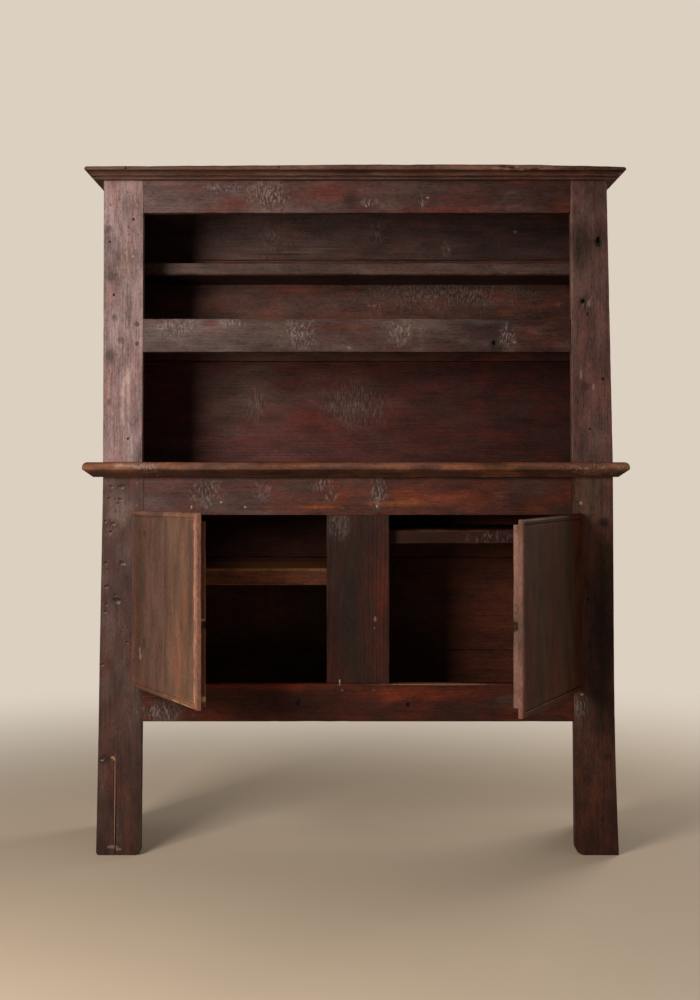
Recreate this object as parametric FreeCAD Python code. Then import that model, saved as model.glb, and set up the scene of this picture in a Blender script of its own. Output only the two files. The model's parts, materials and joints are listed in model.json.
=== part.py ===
import FreeCAD, Part
import math
import os

from FreeCAD import Rotation, Vector

# Country court cupboard in stained pine: a base case on tall plank legs with two lipped doors,
# a moulded counter board, and an open rack with a moulded crown above it.
# Sizes are in millimetres. X runs to the viewer's right, Y to the wall and Z up.
# While the pieces are made, the front face of the frame is the plane Y = 0 and the floor is Z = 0.

# Heights, from the floor up
leg_clearance = 334.0
bottom_rail_height = 95.0
door_opening_height = 421.0
top_rail_height = 95.0
counter_thickness = 37.0
rack_lower_opening = 275.5
mid_rail_height = 82.5
rack_upper_opening = 265.0
frieze_height = 80.0
crown_height = 35.0
top_board_thickness = 22.0

# Widths, from the middle of the cupboard to each side
opening_half_width = 535.0
muntin_width = 157.0
leg_width = 102.0
left_leg_knee_flare = 8.5
left_leg_foot_flare = 17.5
left_leg_knee_height = 500.0
left_leg_hollow = 0.5
left_leg_inner_lean = 8.5
left_foot_outer_round = 9.0
left_foot_inner_round = 14.0
right_leg_knee_flare = 3.0
right_leg_foot_flare = 15.0
right_leg_knee_height = 450.0
right_leg_hollow = 2.0
right_leg_inner_lean = 7.0
right_foot_outer_round = 2.5
right_foot_inner_round = 26.0
left_side_flare = 13.0
right_side_flare = 4.0
left_stile_overlap = 0.5
left_stile_taper = 2.5
left_stile_inner_offset = 4.0
left_stile_inner_taper = 3.5
right_stile_taper = 16.0
right_stile_inner_taper = 4.5

# Depths and plank thicknesses
case_depth = 400.0
frame_thickness = 30.0
side_thickness = 25.0
side_setback = 4.0
back_thickness = 20.0
partition_thickness = 25.0

# A split runs up the left leg from the floor
split_height = 236.0
split_width = 3.0
split_depth = 9.0
split_from_outer_edge = 47.0
split_lean = 6.0

# Mortise and tenon joints and the whittled pegs that lock them
tenon_thickness = 10.0
tenon_length = 62.0
tenon_haunch = 8.0
muntin_tenon_length = 42.0
peg_radius = 4.0
peg_fit = 0.1
peg_from_shoulder = 17.0
rail_peg_low_share = 0.25
rail_peg_high_share = 0.16
muntin_peg_share = 0.25
peg_length = 29.0
side_peg_length = 72.0
side_peg_proud = 2.0
side_peg_low_share = 0.725
side_peg_high_share = 0.886
rack_side_peg_inset = 60.0
peg_sides = 6

# Counter board
counter_front_overhang = 45.0
counter_left_overhang = 45.5
counter_right_overhang = 35.0
counter_nose_round = 12.0
counter_chamfer_width = 24.0
counter_chamfer_height = 19.0

# Bottom board, shelves and cleats
bottom_board_thickness = 24.0
bottom_board_below_rail_top = 46.0
bottom_board_nail_left = 148.0
bottom_board_nail_right = 126.0
bottom_board_nail_rise = 7.0
sunk_nail_radius = 4.5
sunk_nail_depth = 8.0
housing_depth = 8.0
shelf_setback = 5.0
left_shelf_share = 0.5784
left_shelf_thickness = 42.0
right_shelf_share = 0.8278
right_shelf_thickness = 35.5
shelf_arris = 4.0
mid_shelf_thickness = 22.0
mid_rail_above_shelf = 32.0
upper_shelf_share = 0.4755
upper_shelf_thickness = 31.0
upper_shelf_setback = 145.0
upper_shelf_chamfer = 5.0
cleat_height = 30.0
cleat_thickness = 22.0
cleat_end_gap = 20.0
shelf_end_gap = 0.5

# Back boards
base_back_joint_shares = (0.191, 0.623)
rack_back_joint_shares = (0.386, 0.771)
back_board_gap = 1.0
back_lap_height = 9.0
back_side_margin = 2.0

# Knots that fell out of the planks, as (x, z, width, height) on the front face
knot_hole_depth = 10.0
knot_hole_shape = ((0.5, 0.1), (0.2, 0.5), (-0.3, 0.36), (-0.5, -0.1), (-0.16, -0.5), (0.34, -0.34))
right_stile_knot_holes = ((600.0, 1538.0, 11.0, 19.0), (563.0, 1385.0, 9.0, 10.0))
mid_rail_knot_holes = ((340.0, 1280.0, 11.0, 12.0),)

# Crown moulding: how far each member stands out, from the soffit up
crown_projection = 42.0
crown_bead_projection = 24.0
crown_bead_height = 5.5
crown_quirk_projection = 17.5
crown_quirk_height = 3.0
crown_cove_low_projection = 25.0
crown_cove_high_projection = 36.0
crown_cove_height = 8.5
crown_cove_sag = 1.5
crown_upper_quirk_projection = 31.0
crown_upper_quirk_height = 3.0
crown_fillet_wear = 3.0

# Lipped doors: the lip lies over the frame, and the thinner inner part enters the opening
lip_thickness = 14.0
inner_part_thickness = 15.0
lip_frame_clearance = 0.4
left_lip_over_stile = 18.0
right_lip_over_stile = 13.5
lip_over_muntin = 9.0
inner_part_side_clearance = 3.0
left_over_top_hinge = 12.0
left_over_top_free = 19.0
left_under_bottom_hinge = 7.0
left_under_bottom_free = 1.5
left_inner_top_clearance = 1.5
left_inner_bottom_clearance = 3.5
right_over_top_hinge = 5.0
right_over_top_free = 3.5
right_under_bottom_hinge = 16.0
right_under_bottom_free = 20.0
right_inner_top_clearance = 9.0
right_inner_bottom_clearance = 1.5
door_border_width = 12.0
door_field_depth = 2.0
door_quirk_width = 3.0
door_quirk_depth = 2.0
door_edge_round = 6.5
door_notch_radius = 22.0
door_notch_depth = 5.0
door_notch_below_middle = 22.0
door_joint_share = 0.52
batten_height = 62.0
batten_thickness = 14.0
batten_from_edge = 36.0
batten_end_gap = 46.0
batten_chamfer = 5.0
left_door_open_angle = 65.5
right_door_open_angle = 66.3

# Iron butt hinges
knuckle_radius = 4.5
knuckle_sides = 16
knuckle_door_gap = 0.5
knuckle_frame_gap = 0.5
knuckle_end_gap = 0.4
hinge_height = 50.0
knuckle_count = 3
hinge_from_door_end = 75.0
leaf_width = 14.0
leaf_thickness = 1.6
hinge_pin_radius = 2.0
hinge_pin_fit = 0.06

# Fasteners
dowel_radius = 7.0
dowel_from_edge = 24.0
dowel_rear_shift = 21.0
dowel_depth = 24.0
dowel_fit = 0.1
nail_width = 4.5
nail_length = 46.0
nail_from_edge = 28.0
hinge_nail_radius = 2.0
hinge_nail_length = 11.5
hinge_frame_nail_length = 23.0
hinge_nail_fit = 0.08
hinge_nail_from_end = 11.0
hinge_nail_share = 0.6
nail_bite_share = 0.8
crown_nail_from_end = 60.0
crown_nail_count = 4
crown_side_nail_share = 0.25

# One overrun serves every cut, and faces closer than this count as touching
overrun = 5.0
touching = 0.01

# Levels that follow from the heights
bottom_rail_top = leg_clearance + bottom_rail_height
door_opening_top = bottom_rail_top + door_opening_height
base_height = door_opening_top + top_rail_height
counter_top = base_height + counter_thickness
mid_rail_bottom = counter_top + rack_lower_opening
mid_rail_top = mid_rail_bottom + mid_rail_height
frieze_bottom = mid_rail_top + rack_upper_opening
crown_bottom = frieze_bottom + frieze_height
crown_top = crown_bottom + crown_height
rack_case_top = crown_top - top_board_thickness
bottom_board_top = bottom_rail_top - bottom_board_below_rail_top
bottom_board_bottom = bottom_board_top - bottom_board_thickness
mid_shelf_top = mid_rail_top - mid_rail_above_shelf
mid_shelf_bottom = mid_shelf_top - mid_shelf_thickness
left_shelf_bottom = bottom_rail_top + left_shelf_share * door_opening_height
right_shelf_bottom = bottom_rail_top + right_shelf_share * door_opening_height
upper_shelf_bottom = mid_rail_top + upper_shelf_share * rack_upper_opening
side_peg_low = side_peg_low_share * leg_clearance
side_peg_high = side_peg_high_share * base_height

# Widths and depths that follow from the opening and the planks, each from the middle outwards
leg_outer_top = opening_half_width + leg_width
left_stile_outer_bottom = leg_outer_top + left_stile_overlap
left_stile_outer_top = left_stile_outer_bottom - left_stile_taper
left_stile_inner_bottom = opening_half_width + left_stile_inner_offset
left_stile_inner_top = left_stile_inner_bottom - left_stile_inner_taper
right_stile_outer_top = leg_outer_top - right_stile_taper
right_stile_inner_top = opening_half_width - right_stile_inner_taper
case_inner_depth = case_depth - back_thickness


def block(x0, x1, y0, y1, z0, z1):
    """Returns a plank whose faces are square to the axes."""
    return Part.makeBox(x1 - x0, y1 - y0, z1 - z0, Vector(x0, y0, z0))


def prism_along_y(outline, y0, y1):
    """Returns a plank with an outline of (x, z) points, from depth y0 to depth y1."""
    corners = [Vector(x, y0, z) for x, z in outline]
    face = Part.Face(Part.makePolygon(corners + corners[:1]))
    return face.extrude(Vector(0, y1 - y0, 0))


def wire_face(edges):
    """Returns the flat face that is bounded by lines and arcs given in order."""
    return Part.Face(Part.Wire(Part.__sortEdges__([edge.toShape() for edge in edges])))


def line_at(low, high, z):
    """Returns the place on a straight line through two (place, height) pairs at height z."""
    share = (z - low[1]) / (high[1] - low[1])
    return low[0] + (high[0] - low[0]) * share


def left_side_face(z):
    """Returns X on the outer face of the left side board of the base, which leans out to the floor."""
    top = side_setback - leg_outer_top
    return line_at((top - left_side_flare - side_setback, 0), (top, base_height), z)


def right_side_face(z):
    """Returns X on the outer face of the right side board of the base."""
    top = leg_outer_top - side_setback
    return line_at((top + right_side_flare + side_setback, 0), (top, base_height), z)


def left_stile_outer(z):
    """Returns X on the outer edge of the rack's left stile."""
    return line_at((-left_stile_outer_bottom, counter_top), (-left_stile_outer_top, rack_case_top), z)


def right_stile_outer(z):
    """Returns X on the outer edge of the rack's right stile."""
    return line_at((leg_outer_top, counter_top), (right_stile_outer_top, rack_case_top), z)


def left_rack_face(z):
    """Returns X on the outer face of the rack's left side board."""
    return left_stile_outer(z) + side_setback


def right_rack_face(z):
    """Returns X on the outer face of the rack's right side board."""
    return right_stile_outer(z) - side_setback


def side_board(outer_face, inward, z0, z1):
    """Returns a leaning side board: outer_face gives its outer X, and inward is 1 or -1."""
    inner = inward * side_thickness
    outline = [(outer_face(z0), z0), (outer_face(z0) + inner, z0)]
    outline += [(outer_face(z1) + inner, z1), (outer_face(z1), z1)]
    return prism_along_y(outline, frame_thickness, case_inner_depth)


def board_between(left_face, right_face, z0, z1, y0, y1, reach):
    """Returns a board that fits between two leaning faces, and reaches past them by reach."""
    outline = [(left_face(z0) - reach, z0), (right_face(z0) + reach, z0)]
    outline += [(right_face(z1) + reach, z1), (left_face(z1) - reach, z1)]
    return prism_along_y(outline, y0, y1)


def inner_faces(left_face, right_face):
    """Returns the functions for the inner faces of two side boards."""
    return (lambda z: left_face(z) + side_thickness), (lambda z: right_face(z) - side_thickness)


def worn_edges(shape, edges_wanted, wear):
    """Returns the shape with a small chamfer along the edges that edges_wanted picks."""
    edges = [edge for edge in shape.Edges if edges_wanted(edge)]
    return shape.makeChamfer(wear, edges) if edges else shape


def whittled_rod(start, direction, length, radius, sides=peg_sides):
    """Returns a rod with flat sides from start along direction."""
    corners = []
    for step in range(sides):
        turn = math.tau * (step + 0.5) / sides
        corners.append(Vector(radius * math.cos(turn), radius * math.sin(turn), 0))
    rod = Part.Face(Part.makePolygon(corners + corners[:1])).extrude(Vector(0, 0, length))
    rod.Placement = FreeCAD.Placement(start, Rotation(Vector(0, 0, 1), direction))
    return rod


def peg(x, z, length):
    """Returns a whittled peg that goes in from the frame's front face."""
    return whittled_rod(Vector(x, 0, z), Vector(0, 1, 0), length, peg_radius)


def peg_hole(x, z, length):
    """Returns the hole that a peg is driven into."""
    return whittled_rod(Vector(x, 0, z), Vector(0, 1, 0), length, peg_radius + peg_fit)


def nail(x, y, z, direction, length=nail_length):
    """Returns a square cut brad driven flush at (x, y, z) along direction."""
    half = nail_width / 2
    shape = block(-half, half, -half, half, 0, length)
    shape.Placement = FreeCAD.Placement(Vector(x, y, z), Rotation(Vector(0, 0, 1), direction))
    return shape


def knot_holes(places):
    """Returns the ragged hollows that fallen knots leave in a front face."""
    hollows = []
    for x, z, width, height in places:
        outline = [(x + width * across, z + height * up) for across, up in knot_hole_shape]
        hollows.append(prism_along_y(outline, -overrun, knot_hole_depth))
    return hollows


def cut_all(shape, tools):
    """Returns the shape with the tools cut out of it."""
    return shape.cut(tools) if tools else shape


def group(solids):
    """Returns several separate solids as one shape."""
    return Part.makeCompound(solids)


def mirrored(shapes):
    """Returns copies of the shapes mirrored to the cupboard's right."""
    return [shape.mirror(Vector(0, 0, 0), Vector(1, 0, 0)) for shape in shapes]


def foot_corner(x, inward, radius):
    """Returns the arc that rounds a foot's lower corner at x, from its side down to its sole."""
    share = 1 - math.sqrt(0.5)
    bulge = Vector(x + inward * radius * share, 0, radius * share)
    return Part.Arc(Vector(x, 0, radius), bulge, Vector(x + inward * radius, 0, 0))


def make_leg(knee_flare, knee_height, foot_flare, hollow, outer_round, inner_lean, inner_round):
    """Returns the cupboard's right leg and stile in one plank, with worn corners at the foot."""
    outer_x = leg_outer_top + foot_flare
    inner_x = opening_half_width + inner_lean
    outer_corner = foot_corner(outer_x, -1, outer_round)
    inner_corner = foot_corner(inner_x, 1, inner_round)
    outer_top = Vector(leg_outer_top, 0, base_height)
    inner_top = Vector(opening_half_width, 0, base_height)
    knee = Vector(leg_outer_top + knee_flare, 0, knee_height)
    foot = outer_corner.StartPoint
    middle = (knee + foot) * 0.5 - Vector(hollow, 0, 0)
    edges = [Part.LineSegment(outer_top, knee), Part.Arc(knee, middle, foot), outer_corner]
    edges.append(Part.LineSegment(outer_corner.EndPoint, inner_corner.EndPoint))
    edges.append(inner_corner)
    edges.append(Part.LineSegment(inner_corner.StartPoint, inner_top))
    edges.append(Part.LineSegment(inner_top, outer_top))
    return wire_face(edges).extrude(Vector(0, frame_thickness, 0))


def make_left_leg():
    """Returns the left leg, which has split up from the floor."""
    plank = make_leg(left_leg_knee_flare, left_leg_knee_height, left_leg_foot_flare, left_leg_hollow,
                     left_foot_outer_round, left_leg_inner_lean, left_foot_inner_round)
    plank = mirrored([plank])[0]
    split_x = split_from_outer_edge - leg_outer_top - left_leg_foot_flare
    corners = [Vector(split_x - split_width / 2, 0, -overrun)]
    corners.append(Vector(split_x + split_width / 2, 0, -overrun))
    corners.append(Vector(split_x + split_lean, 0, split_height))
    wedge = Part.Face(Part.makePolygon(corners + corners[:1])).extrude(Vector(0, split_depth, 0))
    return plank.cut(wedge)


def make_right_leg():
    """Returns the right leg, which is worn round at its inner corner."""
    return make_leg(right_leg_knee_flare, right_leg_knee_height, right_leg_foot_flare, right_leg_hollow,
                    right_foot_outer_round, right_leg_inner_lean, right_foot_inner_round)


def make_rack_stile(outer_bottom, outer_top, inner_bottom, inner_top, side):
    """Tapered stile of the rack; side is -1 for the left one and 1 for the right one."""
    outline = [(side * outer_bottom, counter_top), (side * inner_bottom, counter_top)]
    outline += [(side * inner_top, rack_case_top), (side * outer_top, rack_case_top)]
    return prism_along_y(outline, 0, frame_thickness)


def make_rail(left_plank, right_plank, z0, z1):
    """Returns a rail with a tenon at each end, fitted to the inner edges of two upright planks."""
    reach = opening_half_width + peg_from_shoulder
    rail = block(-reach, reach, 0, frame_thickness, z0, z1).cut([left_plank, right_plank])
    near = (frame_thickness - tenon_thickness) / 2
    reach = opening_half_width + tenon_length
    tenon = block(-reach, reach, near, near + tenon_thickness, z0 + tenon_haunch, z1 - tenon_haunch)
    return rail.fuse(tenon).removeSplitter(), tenon


def rail_peg_places(edge_x, z0, z1):
    """Returns the (x, z) places of the two pegs at one end of a rail."""
    x = edge_x + math.copysign(peg_from_shoulder, edge_x)
    return [(x, z0 + (z1 - z0) * rail_peg_low_share), (x, z1 - (z1 - z0) * rail_peg_high_share)]


def make_muntin(bottom_rail, top_rail):
    """Middle upright between the doors, tenoned into both rails."""
    half = muntin_width / 2
    near = (frame_thickness - tenon_thickness) / 2
    upright = block(-half, half, 0, frame_thickness, bottom_rail_top, door_opening_top)
    tenon = block(tenon_haunch - half, half - tenon_haunch, near, near + tenon_thickness,
                  bottom_rail_top - muntin_tenon_length, door_opening_top + muntin_tenon_length)
    return upright.fuse(tenon).removeSplitter(), tenon


def nosing_profile(near, sign, far, across):
    """Returns the counter board's section: a rounded nose over a chamfer on the near side.

    near is the nose's tip, sign points from it into the board, and far is the other side.
    across builds a point from a place across the board and a height.
    """
    tip_low = base_height + counter_chamfer_height
    flat = near + sign * counter_chamfer_width
    nose_start = counter_top - counter_nose_round
    share = 1 - math.sqrt(0.5)
    middle = across(near + sign * counter_nose_round * share, counter_top - counter_nose_round * share)
    nose_end = across(near + sign * counter_nose_round, counter_top)
    edges = [Part.LineSegment(across(flat, base_height), across(near, tip_low))]
    edges.append(Part.LineSegment(across(near, tip_low), across(near, nose_start)))
    edges.append(Part.Arc(across(near, nose_start), middle, nose_end))
    edges.append(Part.LineSegment(nose_end, across(far, counter_top)))
    edges.append(Part.LineSegment(across(far, counter_top), across(far, base_height)))
    edges.append(Part.LineSegment(across(far, base_height), across(flat, base_height)))
    return wire_face(edges)


def make_counter_board():
    """Counter board, with the same nose on its front and both ends, mitred at the corners."""
    left = -leg_outer_top - counter_left_overhang
    right = leg_outer_top + counter_right_overhang
    start = left - overrun
    front = nosing_profile(-counter_front_overhang, 1, case_depth, lambda p, z: Vector(start, p, z))
    board = front.extrude(Vector(right - left + 2 * overrun, 0, 0))
    far_front = -counter_front_overhang - overrun
    run = Vector(0, case_depth + counter_front_overhang + 2 * overrun, 0)
    ends = nosing_profile(left, 1, right + overrun, lambda p, z: Vector(p, far_front, z)).extrude(run)
    board = board.common(ends)
    ends = nosing_profile(right, -1, left - overrun, lambda p, z: Vector(p, far_front, z)).extrude(run)
    return board.common(ends)


def crown_profile(across):
    """Returns the crown moulding's section: bead, quirk, cove, quirk and a worn top fillet.

    across builds a point from a projection and a height.
    """
    bead_top = crown_bottom + crown_bead_height
    quirk_top = bead_top + crown_quirk_height
    cove_top = quirk_top + crown_cove_height
    upper_quirk_top = cove_top + crown_upper_quirk_height
    bead_low = crown_bead_projection - crown_bead_height / 2
    points = [across(0, crown_top), across(0, crown_bottom), across(bead_low, crown_bottom)]
    edges = [Part.LineSegment(points[0], points[1]), Part.LineSegment(points[1], points[2])]
    bead_nose = across(crown_bead_projection, crown_bottom + crown_bead_height / 2)
    edges.append(Part.Arc(points[2], bead_nose, across(bead_low, bead_top)))
    points = [across(bead_low, bead_top), across(crown_quirk_projection, bead_top)]
    points.append(across(crown_quirk_projection, quirk_top))
    points.append(across(crown_cove_low_projection, quirk_top))
    edges += [Part.LineSegment(start, end) for start, end in zip(points, points[1:])]
    cove_middle = (crown_cove_low_projection + crown_cove_high_projection) / 2 - crown_cove_sag
    cove_hollow = across(cove_middle, (quirk_top + cove_top) / 2 + crown_cove_sag)
    cove_end = across(crown_cove_high_projection, cove_top)
    edges.append(Part.Arc(points[-1], cove_hollow, cove_end))
    points = [cove_end, across(crown_upper_quirk_projection, cove_top)]
    points.append(across(crown_upper_quirk_projection, upper_quirk_top))
    points.append(across(crown_projection - crown_fillet_wear, upper_quirk_top))
    points.append(across(crown_projection, upper_quirk_top + crown_fillet_wear))
    points.append(across(crown_projection, crown_top - crown_fillet_wear))
    points.append(across(crown_projection - crown_fillet_wear, crown_top))
    points.append(across(0, crown_top))
    edges += [Part.LineSegment(start, end) for start, end in zip(points, points[1:])]
    return wire_face(edges)


def plan_prism(corners):
    """Returns a tall prism over a plan outline, to cut the crown's mitres with."""
    low = crown_bottom - overrun
    points = [Vector(x, y, low) for x, y in corners]
    face = Part.Face(Part.makePolygon(points + points[:1]))
    return face.extrude(Vector(0, 0, crown_height + 2 * overrun))


def make_crown(left, right):
    """Returns the front crown moulding and its two returns, mitred at the corners."""
    reach = crown_projection + overrun
    start = left - reach
    front = crown_profile(lambda p, z: Vector(start, -p, z)).extrude(Vector(right - left + 2 * reach, 0, 0))
    front = front.common(plan_prism([(left, 0), (left - reach, -reach),
                                     (right + reach, -reach), (right, 0)]))
    run = Vector(0, case_depth + reach, 0)
    left_return = crown_profile(lambda p, z: Vector(left - p, -reach, z)).extrude(run)
    left_return = left_return.common(plan_prism([(left, 0), (left, case_depth), (left - reach, case_depth),
                                                 (left - reach, -reach)]))
    right_return = crown_profile(lambda p, z: Vector(right + p, -reach, z)).extrude(run)
    right_return = right_return.common(plan_prism([(right, 0), (right + reach, -reach),
                                                   (right + reach, case_depth), (right, case_depth)]))
    return front, left_return, right_return


def crown_nails(left, right):
    """Returns the nails through the crown's top fillet into the edges of the top board."""
    fillet_low = crown_bottom + crown_bead_height + crown_quirk_height + crown_cove_height
    z = (fillet_low + crown_upper_quirk_height + crown_top) / 2
    length = crown_projection + nail_length / 2
    nails = []
    for step in range(crown_nail_count):
        share = step / (crown_nail_count - 1)
        x = left + crown_nail_from_end + (right - left - 2 * crown_nail_from_end) * share
        nails.append(nail(x, -crown_projection, z, Vector(0, 1, 0), length))
    side_inset = case_depth * crown_side_nail_share
    for y in (side_inset, case_depth - side_inset):
        nails.append(nail(left - crown_projection, y, z, Vector(1, 0, 0), length))
        nails.append(nail(right + crown_projection, y, z, Vector(-1, 0, 0), length))
    return nails


def shelf_with_arris(shape, chamfer, low):
    """Returns a shelf with its long upper or lower front arris taken off."""
    front = shape.BoundBox.YMin
    level = shape.BoundBox.ZMin if low else shape.BoundBox.ZMax

    def wanted(edge):
        box = edge.BoundBox
        on_front = abs(box.YMin - front) < touching and box.YLength < touching
        return on_front and abs(box.ZMin - level) < touching and box.ZLength < touching

    return worn_edges(shape, wanted, chamfer)


def cleat_on(face, inward, top, y0):
    """Returns a cleat against a leaning inner face, under a shelf whose underside is at top."""
    low = top - cleat_height
    run = inward * cleat_thickness
    outline = [(face(low), low), (face(low) + run, low), (face(top) + run, top), (face(top), top)]
    return prism_along_y(outline, y0 + cleat_end_gap, case_inner_depth - cleat_end_gap)


def cleat_nails(face, inward, top, y0):
    """Returns the two nails that hold a cleat to the board behind it."""
    length = cleat_thickness + side_thickness / 2
    nails = []
    z = top - cleat_height / 2
    for y in (y0 + cleat_end_gap + nail_from_edge, case_inner_depth - cleat_end_gap - nail_from_edge):
        start = face(z) + inward * cleat_thickness
        nails.append(nail(start, y, z, Vector(-inward, 0, 0), length))
    return nails


def back_boards(left_face, right_face, bottom, top, joint_shares, uprights):
    """Returns the shiplapped back boards between two levels, and the nails through them.

    joint_shares places the joints between the boards, as shares of the way up. uprights gives,
    for a height, the X places of the edges that the boards are nailed to. At a joint, the lower
    board's rear half laps up behind the front half of the board above it.
    """
    levels = [bottom] + [bottom + (top - bottom) * share for share in joint_shares] + [top]
    boards = []
    nails = []
    middle = (case_inner_depth + case_depth) / 2
    for low, high in zip(levels, levels[1:]):
        upper = high if high == top else high - back_board_gap
        rear_low = low if low == bottom else low + back_lap_height
        rear_high = high if high == top else high + back_lap_height - back_board_gap
        front_half = board_between(left_face, right_face, low, upper, case_inner_depth, middle,
                                   -back_side_margin)
        rear_half = board_between(left_face, right_face, rear_low, rear_high, middle, case_depth,
                                  -back_side_margin)
        boards.append(front_half.fuse(rear_half).removeSplitter())
        for z in (low + nail_from_edge, upper - nail_from_edge):
            for x in uprights(z):
                nails.append(nail(x, case_depth, z, Vector(0, -1, 0)))
    return boards, nails


def dowels_at(places, level):
    """Returns upright dowels centred on a level."""
    start = level - dowel_depth
    up = Vector(0, 0, 1)
    return [whittled_rod(Vector(x, y, start), up, 2 * dowel_depth, dowel_radius) for x, y in places]


def dowel_holes(places, level):
    """Returns the holes that the dowels fit."""
    start = level - dowel_depth - dowel_fit
    radius = dowel_radius + dowel_fit
    length = 2 * (dowel_depth + dowel_fit)
    return [whittled_rod(Vector(x, y, start), Vector(0, 0, 1), length, radius) for x, y in places]


# A door is made shut and hinged on its left; the right door is mirrored before it is opened.
# Its lip ends at lip_edge, and it turns about pivot_x.
left_lip_edge = opening_half_width + left_lip_over_stile
left_pivot_x = left_lip_edge + knuckle_door_gap + knuckle_radius
right_lip_edge = opening_half_width + right_lip_over_stile
right_pivot_x = right_lip_edge + knuckle_door_gap + knuckle_radius
pivot_y = -knuckle_radius - knuckle_frame_gap


def door_outline(lip_edge, over_top_hinge, over_top_free, under_hinge, under_free, inset):
    """Returns the corners of a door's lip as (x, z), drawn in by inset on every side."""
    hinge = inset - lip_edge
    free = lip_over_muntin - muntin_width / 2 - inset
    corners = [(hinge, bottom_rail_top - under_hinge + inset), (free, bottom_rail_top - under_free + inset)]
    corners += [(free, door_opening_top + over_top_free - inset)]
    corners += [(hinge, door_opening_top + over_top_hinge - inset)]
    return corners


def make_door_slab(corners, field, inside_quirk, inner_top_clearance, inner_bottom_clearance):
    """Returns a shut door in one piece: beaded lip, quirk, sunk field and the inner part behind."""
    back = -lip_frame_clearance
    front = back - lip_thickness
    lip = prism_along_y(corners, front, back)
    outer = [edge for edge in lip.Edges if edge.BoundBox.YMax < front + touching]
    lip = lip.makeFillet(door_edge_round, outer)
    lip = lip.cut(prism_along_y(field, front - overrun, front + door_field_depth))
    quirk_floor = front + door_field_depth + door_quirk_depth
    quirk = prism_along_y(field, front, quirk_floor).cut(prism_along_y(inside_quirk, front, quirk_floor))
    lip = lip.cut(quirk)
    x0 = inner_part_side_clearance - opening_half_width
    x1 = -inner_part_side_clearance - muntin_width / 2
    inner = block(x0, x1, back - door_field_depth, back + inner_part_thickness,
                  bottom_rail_top + inner_bottom_clearance, door_opening_top - inner_top_clearance)
    return lip.fuse(inner).removeSplitter()


def hinge_levels(corners):
    """Returns the middle heights of a door's two hinges, counted from the hinge side's ends."""
    return [corners[0][1] + hinge_from_door_end, corners[3][1] - hinge_from_door_end]


def knuckle_spans(level):
    """Returns the height spans of a hinge's knuckles: the frame's and the door's take turns."""
    start = level - hinge_height / 2
    length = (hinge_height - (knuckle_count - 1) * knuckle_end_gap) / knuckle_count
    spans = []
    for step in range(knuckle_count):
        low = start + step * (length + knuckle_end_gap)
        spans.append((low, low + length))
    return spans


def knuckle(pivot_x, low, high):
    """Returns one solid knuckle round the pivot, with the flats that the hammer left."""
    start = Vector(-pivot_x, pivot_y, low)
    return whittled_rod(start, Vector(0, 0, 1), high - low, knuckle_radius, knuckle_sides)


def pin_bore(pivot_x, level, radius):
    """Returns the bore for the pin through all three knuckles of a hinge."""
    start = level - hinge_height / 2 - overrun
    return Part.makeCylinder(radius, hinge_height + 2 * overrun, Vector(-pivot_x, pivot_y, start))


def frame_leaf_plate(pivot_x, level):
    """Returns the plate of a hinge's frame leaf, let in flush with the frame's front face."""
    half = hinge_height / 2
    return block(-pivot_x, leaf_width - pivot_x, 0, leaf_thickness, level - half, level + half)


def make_frame_leaf(pivot_x, level):
    """Returns a hinge's frame leaf with its upper and lower knuckles."""
    spans = knuckle_spans(level)
    shape = frame_leaf_plate(pivot_x, level)
    for low, high in spans[::2]:
        web = block(-pivot_x, leaf_thickness - pivot_x, pivot_y, leaf_thickness, low, high)
        shape = shape.fuse([knuckle(pivot_x, low, high), web])
    return shape.cut(pin_bore(pivot_x, level, hinge_pin_radius + hinge_pin_fit)).removeSplitter()


def door_leaf_plate(lip_edge, level):
    """Returns the plate of a hinge's door leaf, let in flush with the back of the lip."""
    half = hinge_height / 2
    back = -lip_frame_clearance
    return block(-lip_edge, leaf_width - lip_edge, back - leaf_thickness, back, level - half, level + half)


def make_door_leaf(lip_edge, pivot_x, level):
    """Returns a hinge's door leaf with its middle knuckle."""
    low, high = knuckle_spans(level)[1]
    back = -lip_frame_clearance
    web = block(-pivot_x, -lip_edge, back - leaf_thickness, back, low, high)
    shape = door_leaf_plate(lip_edge, level).fuse([knuckle(pivot_x, low, high), web])
    return shape.cut(pin_bore(pivot_x, level, hinge_pin_radius + hinge_pin_fit)).removeSplitter()


def make_hinge_pin(pivot_x, level):
    """Returns a hinge pin, cut flush with the outer knuckles."""
    foot = Vector(-pivot_x, pivot_y, level - hinge_height / 2)
    return Part.makeCylinder(hinge_pin_radius, hinge_height, foot)


def hinge_nail_places(level, near, width):
    """Returns the (x, z) places of the two nails of a leaf that starts at near."""
    rise = hinge_height / 2 - hinge_nail_from_end
    x = near + width * hinge_nail_share
    return [(x, level - rise), (x, level + rise)]


def rod_along_y(x, z, y0, y1, radius):
    """Returns a whittled rod from depth y0 to depth y1."""
    return whittled_rod(Vector(x, y0, z), Vector(0, 1, 0), y1 - y0, radius)


def make_battens(inner_bottom, inner_top):
    """Returns the two battens across the back of a door, with their far arrises taken off."""
    back = inner_part_thickness - lip_frame_clearance
    x0 = batten_end_gap - opening_half_width
    x1 = -batten_end_gap - muntin_width / 2
    battens = []
    for low in (inner_bottom + batten_from_edge, inner_top - batten_from_edge - batten_height):
        batten = block(x0, x1, back, back + batten_thickness, low, low + batten_height)
        far = [edge for edge in batten.Edges if edge.BoundBox.YMin > back + batten_thickness / 2]
        battens.append(batten.makeChamfer(batten_chamfer, far))
    return battens


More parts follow.
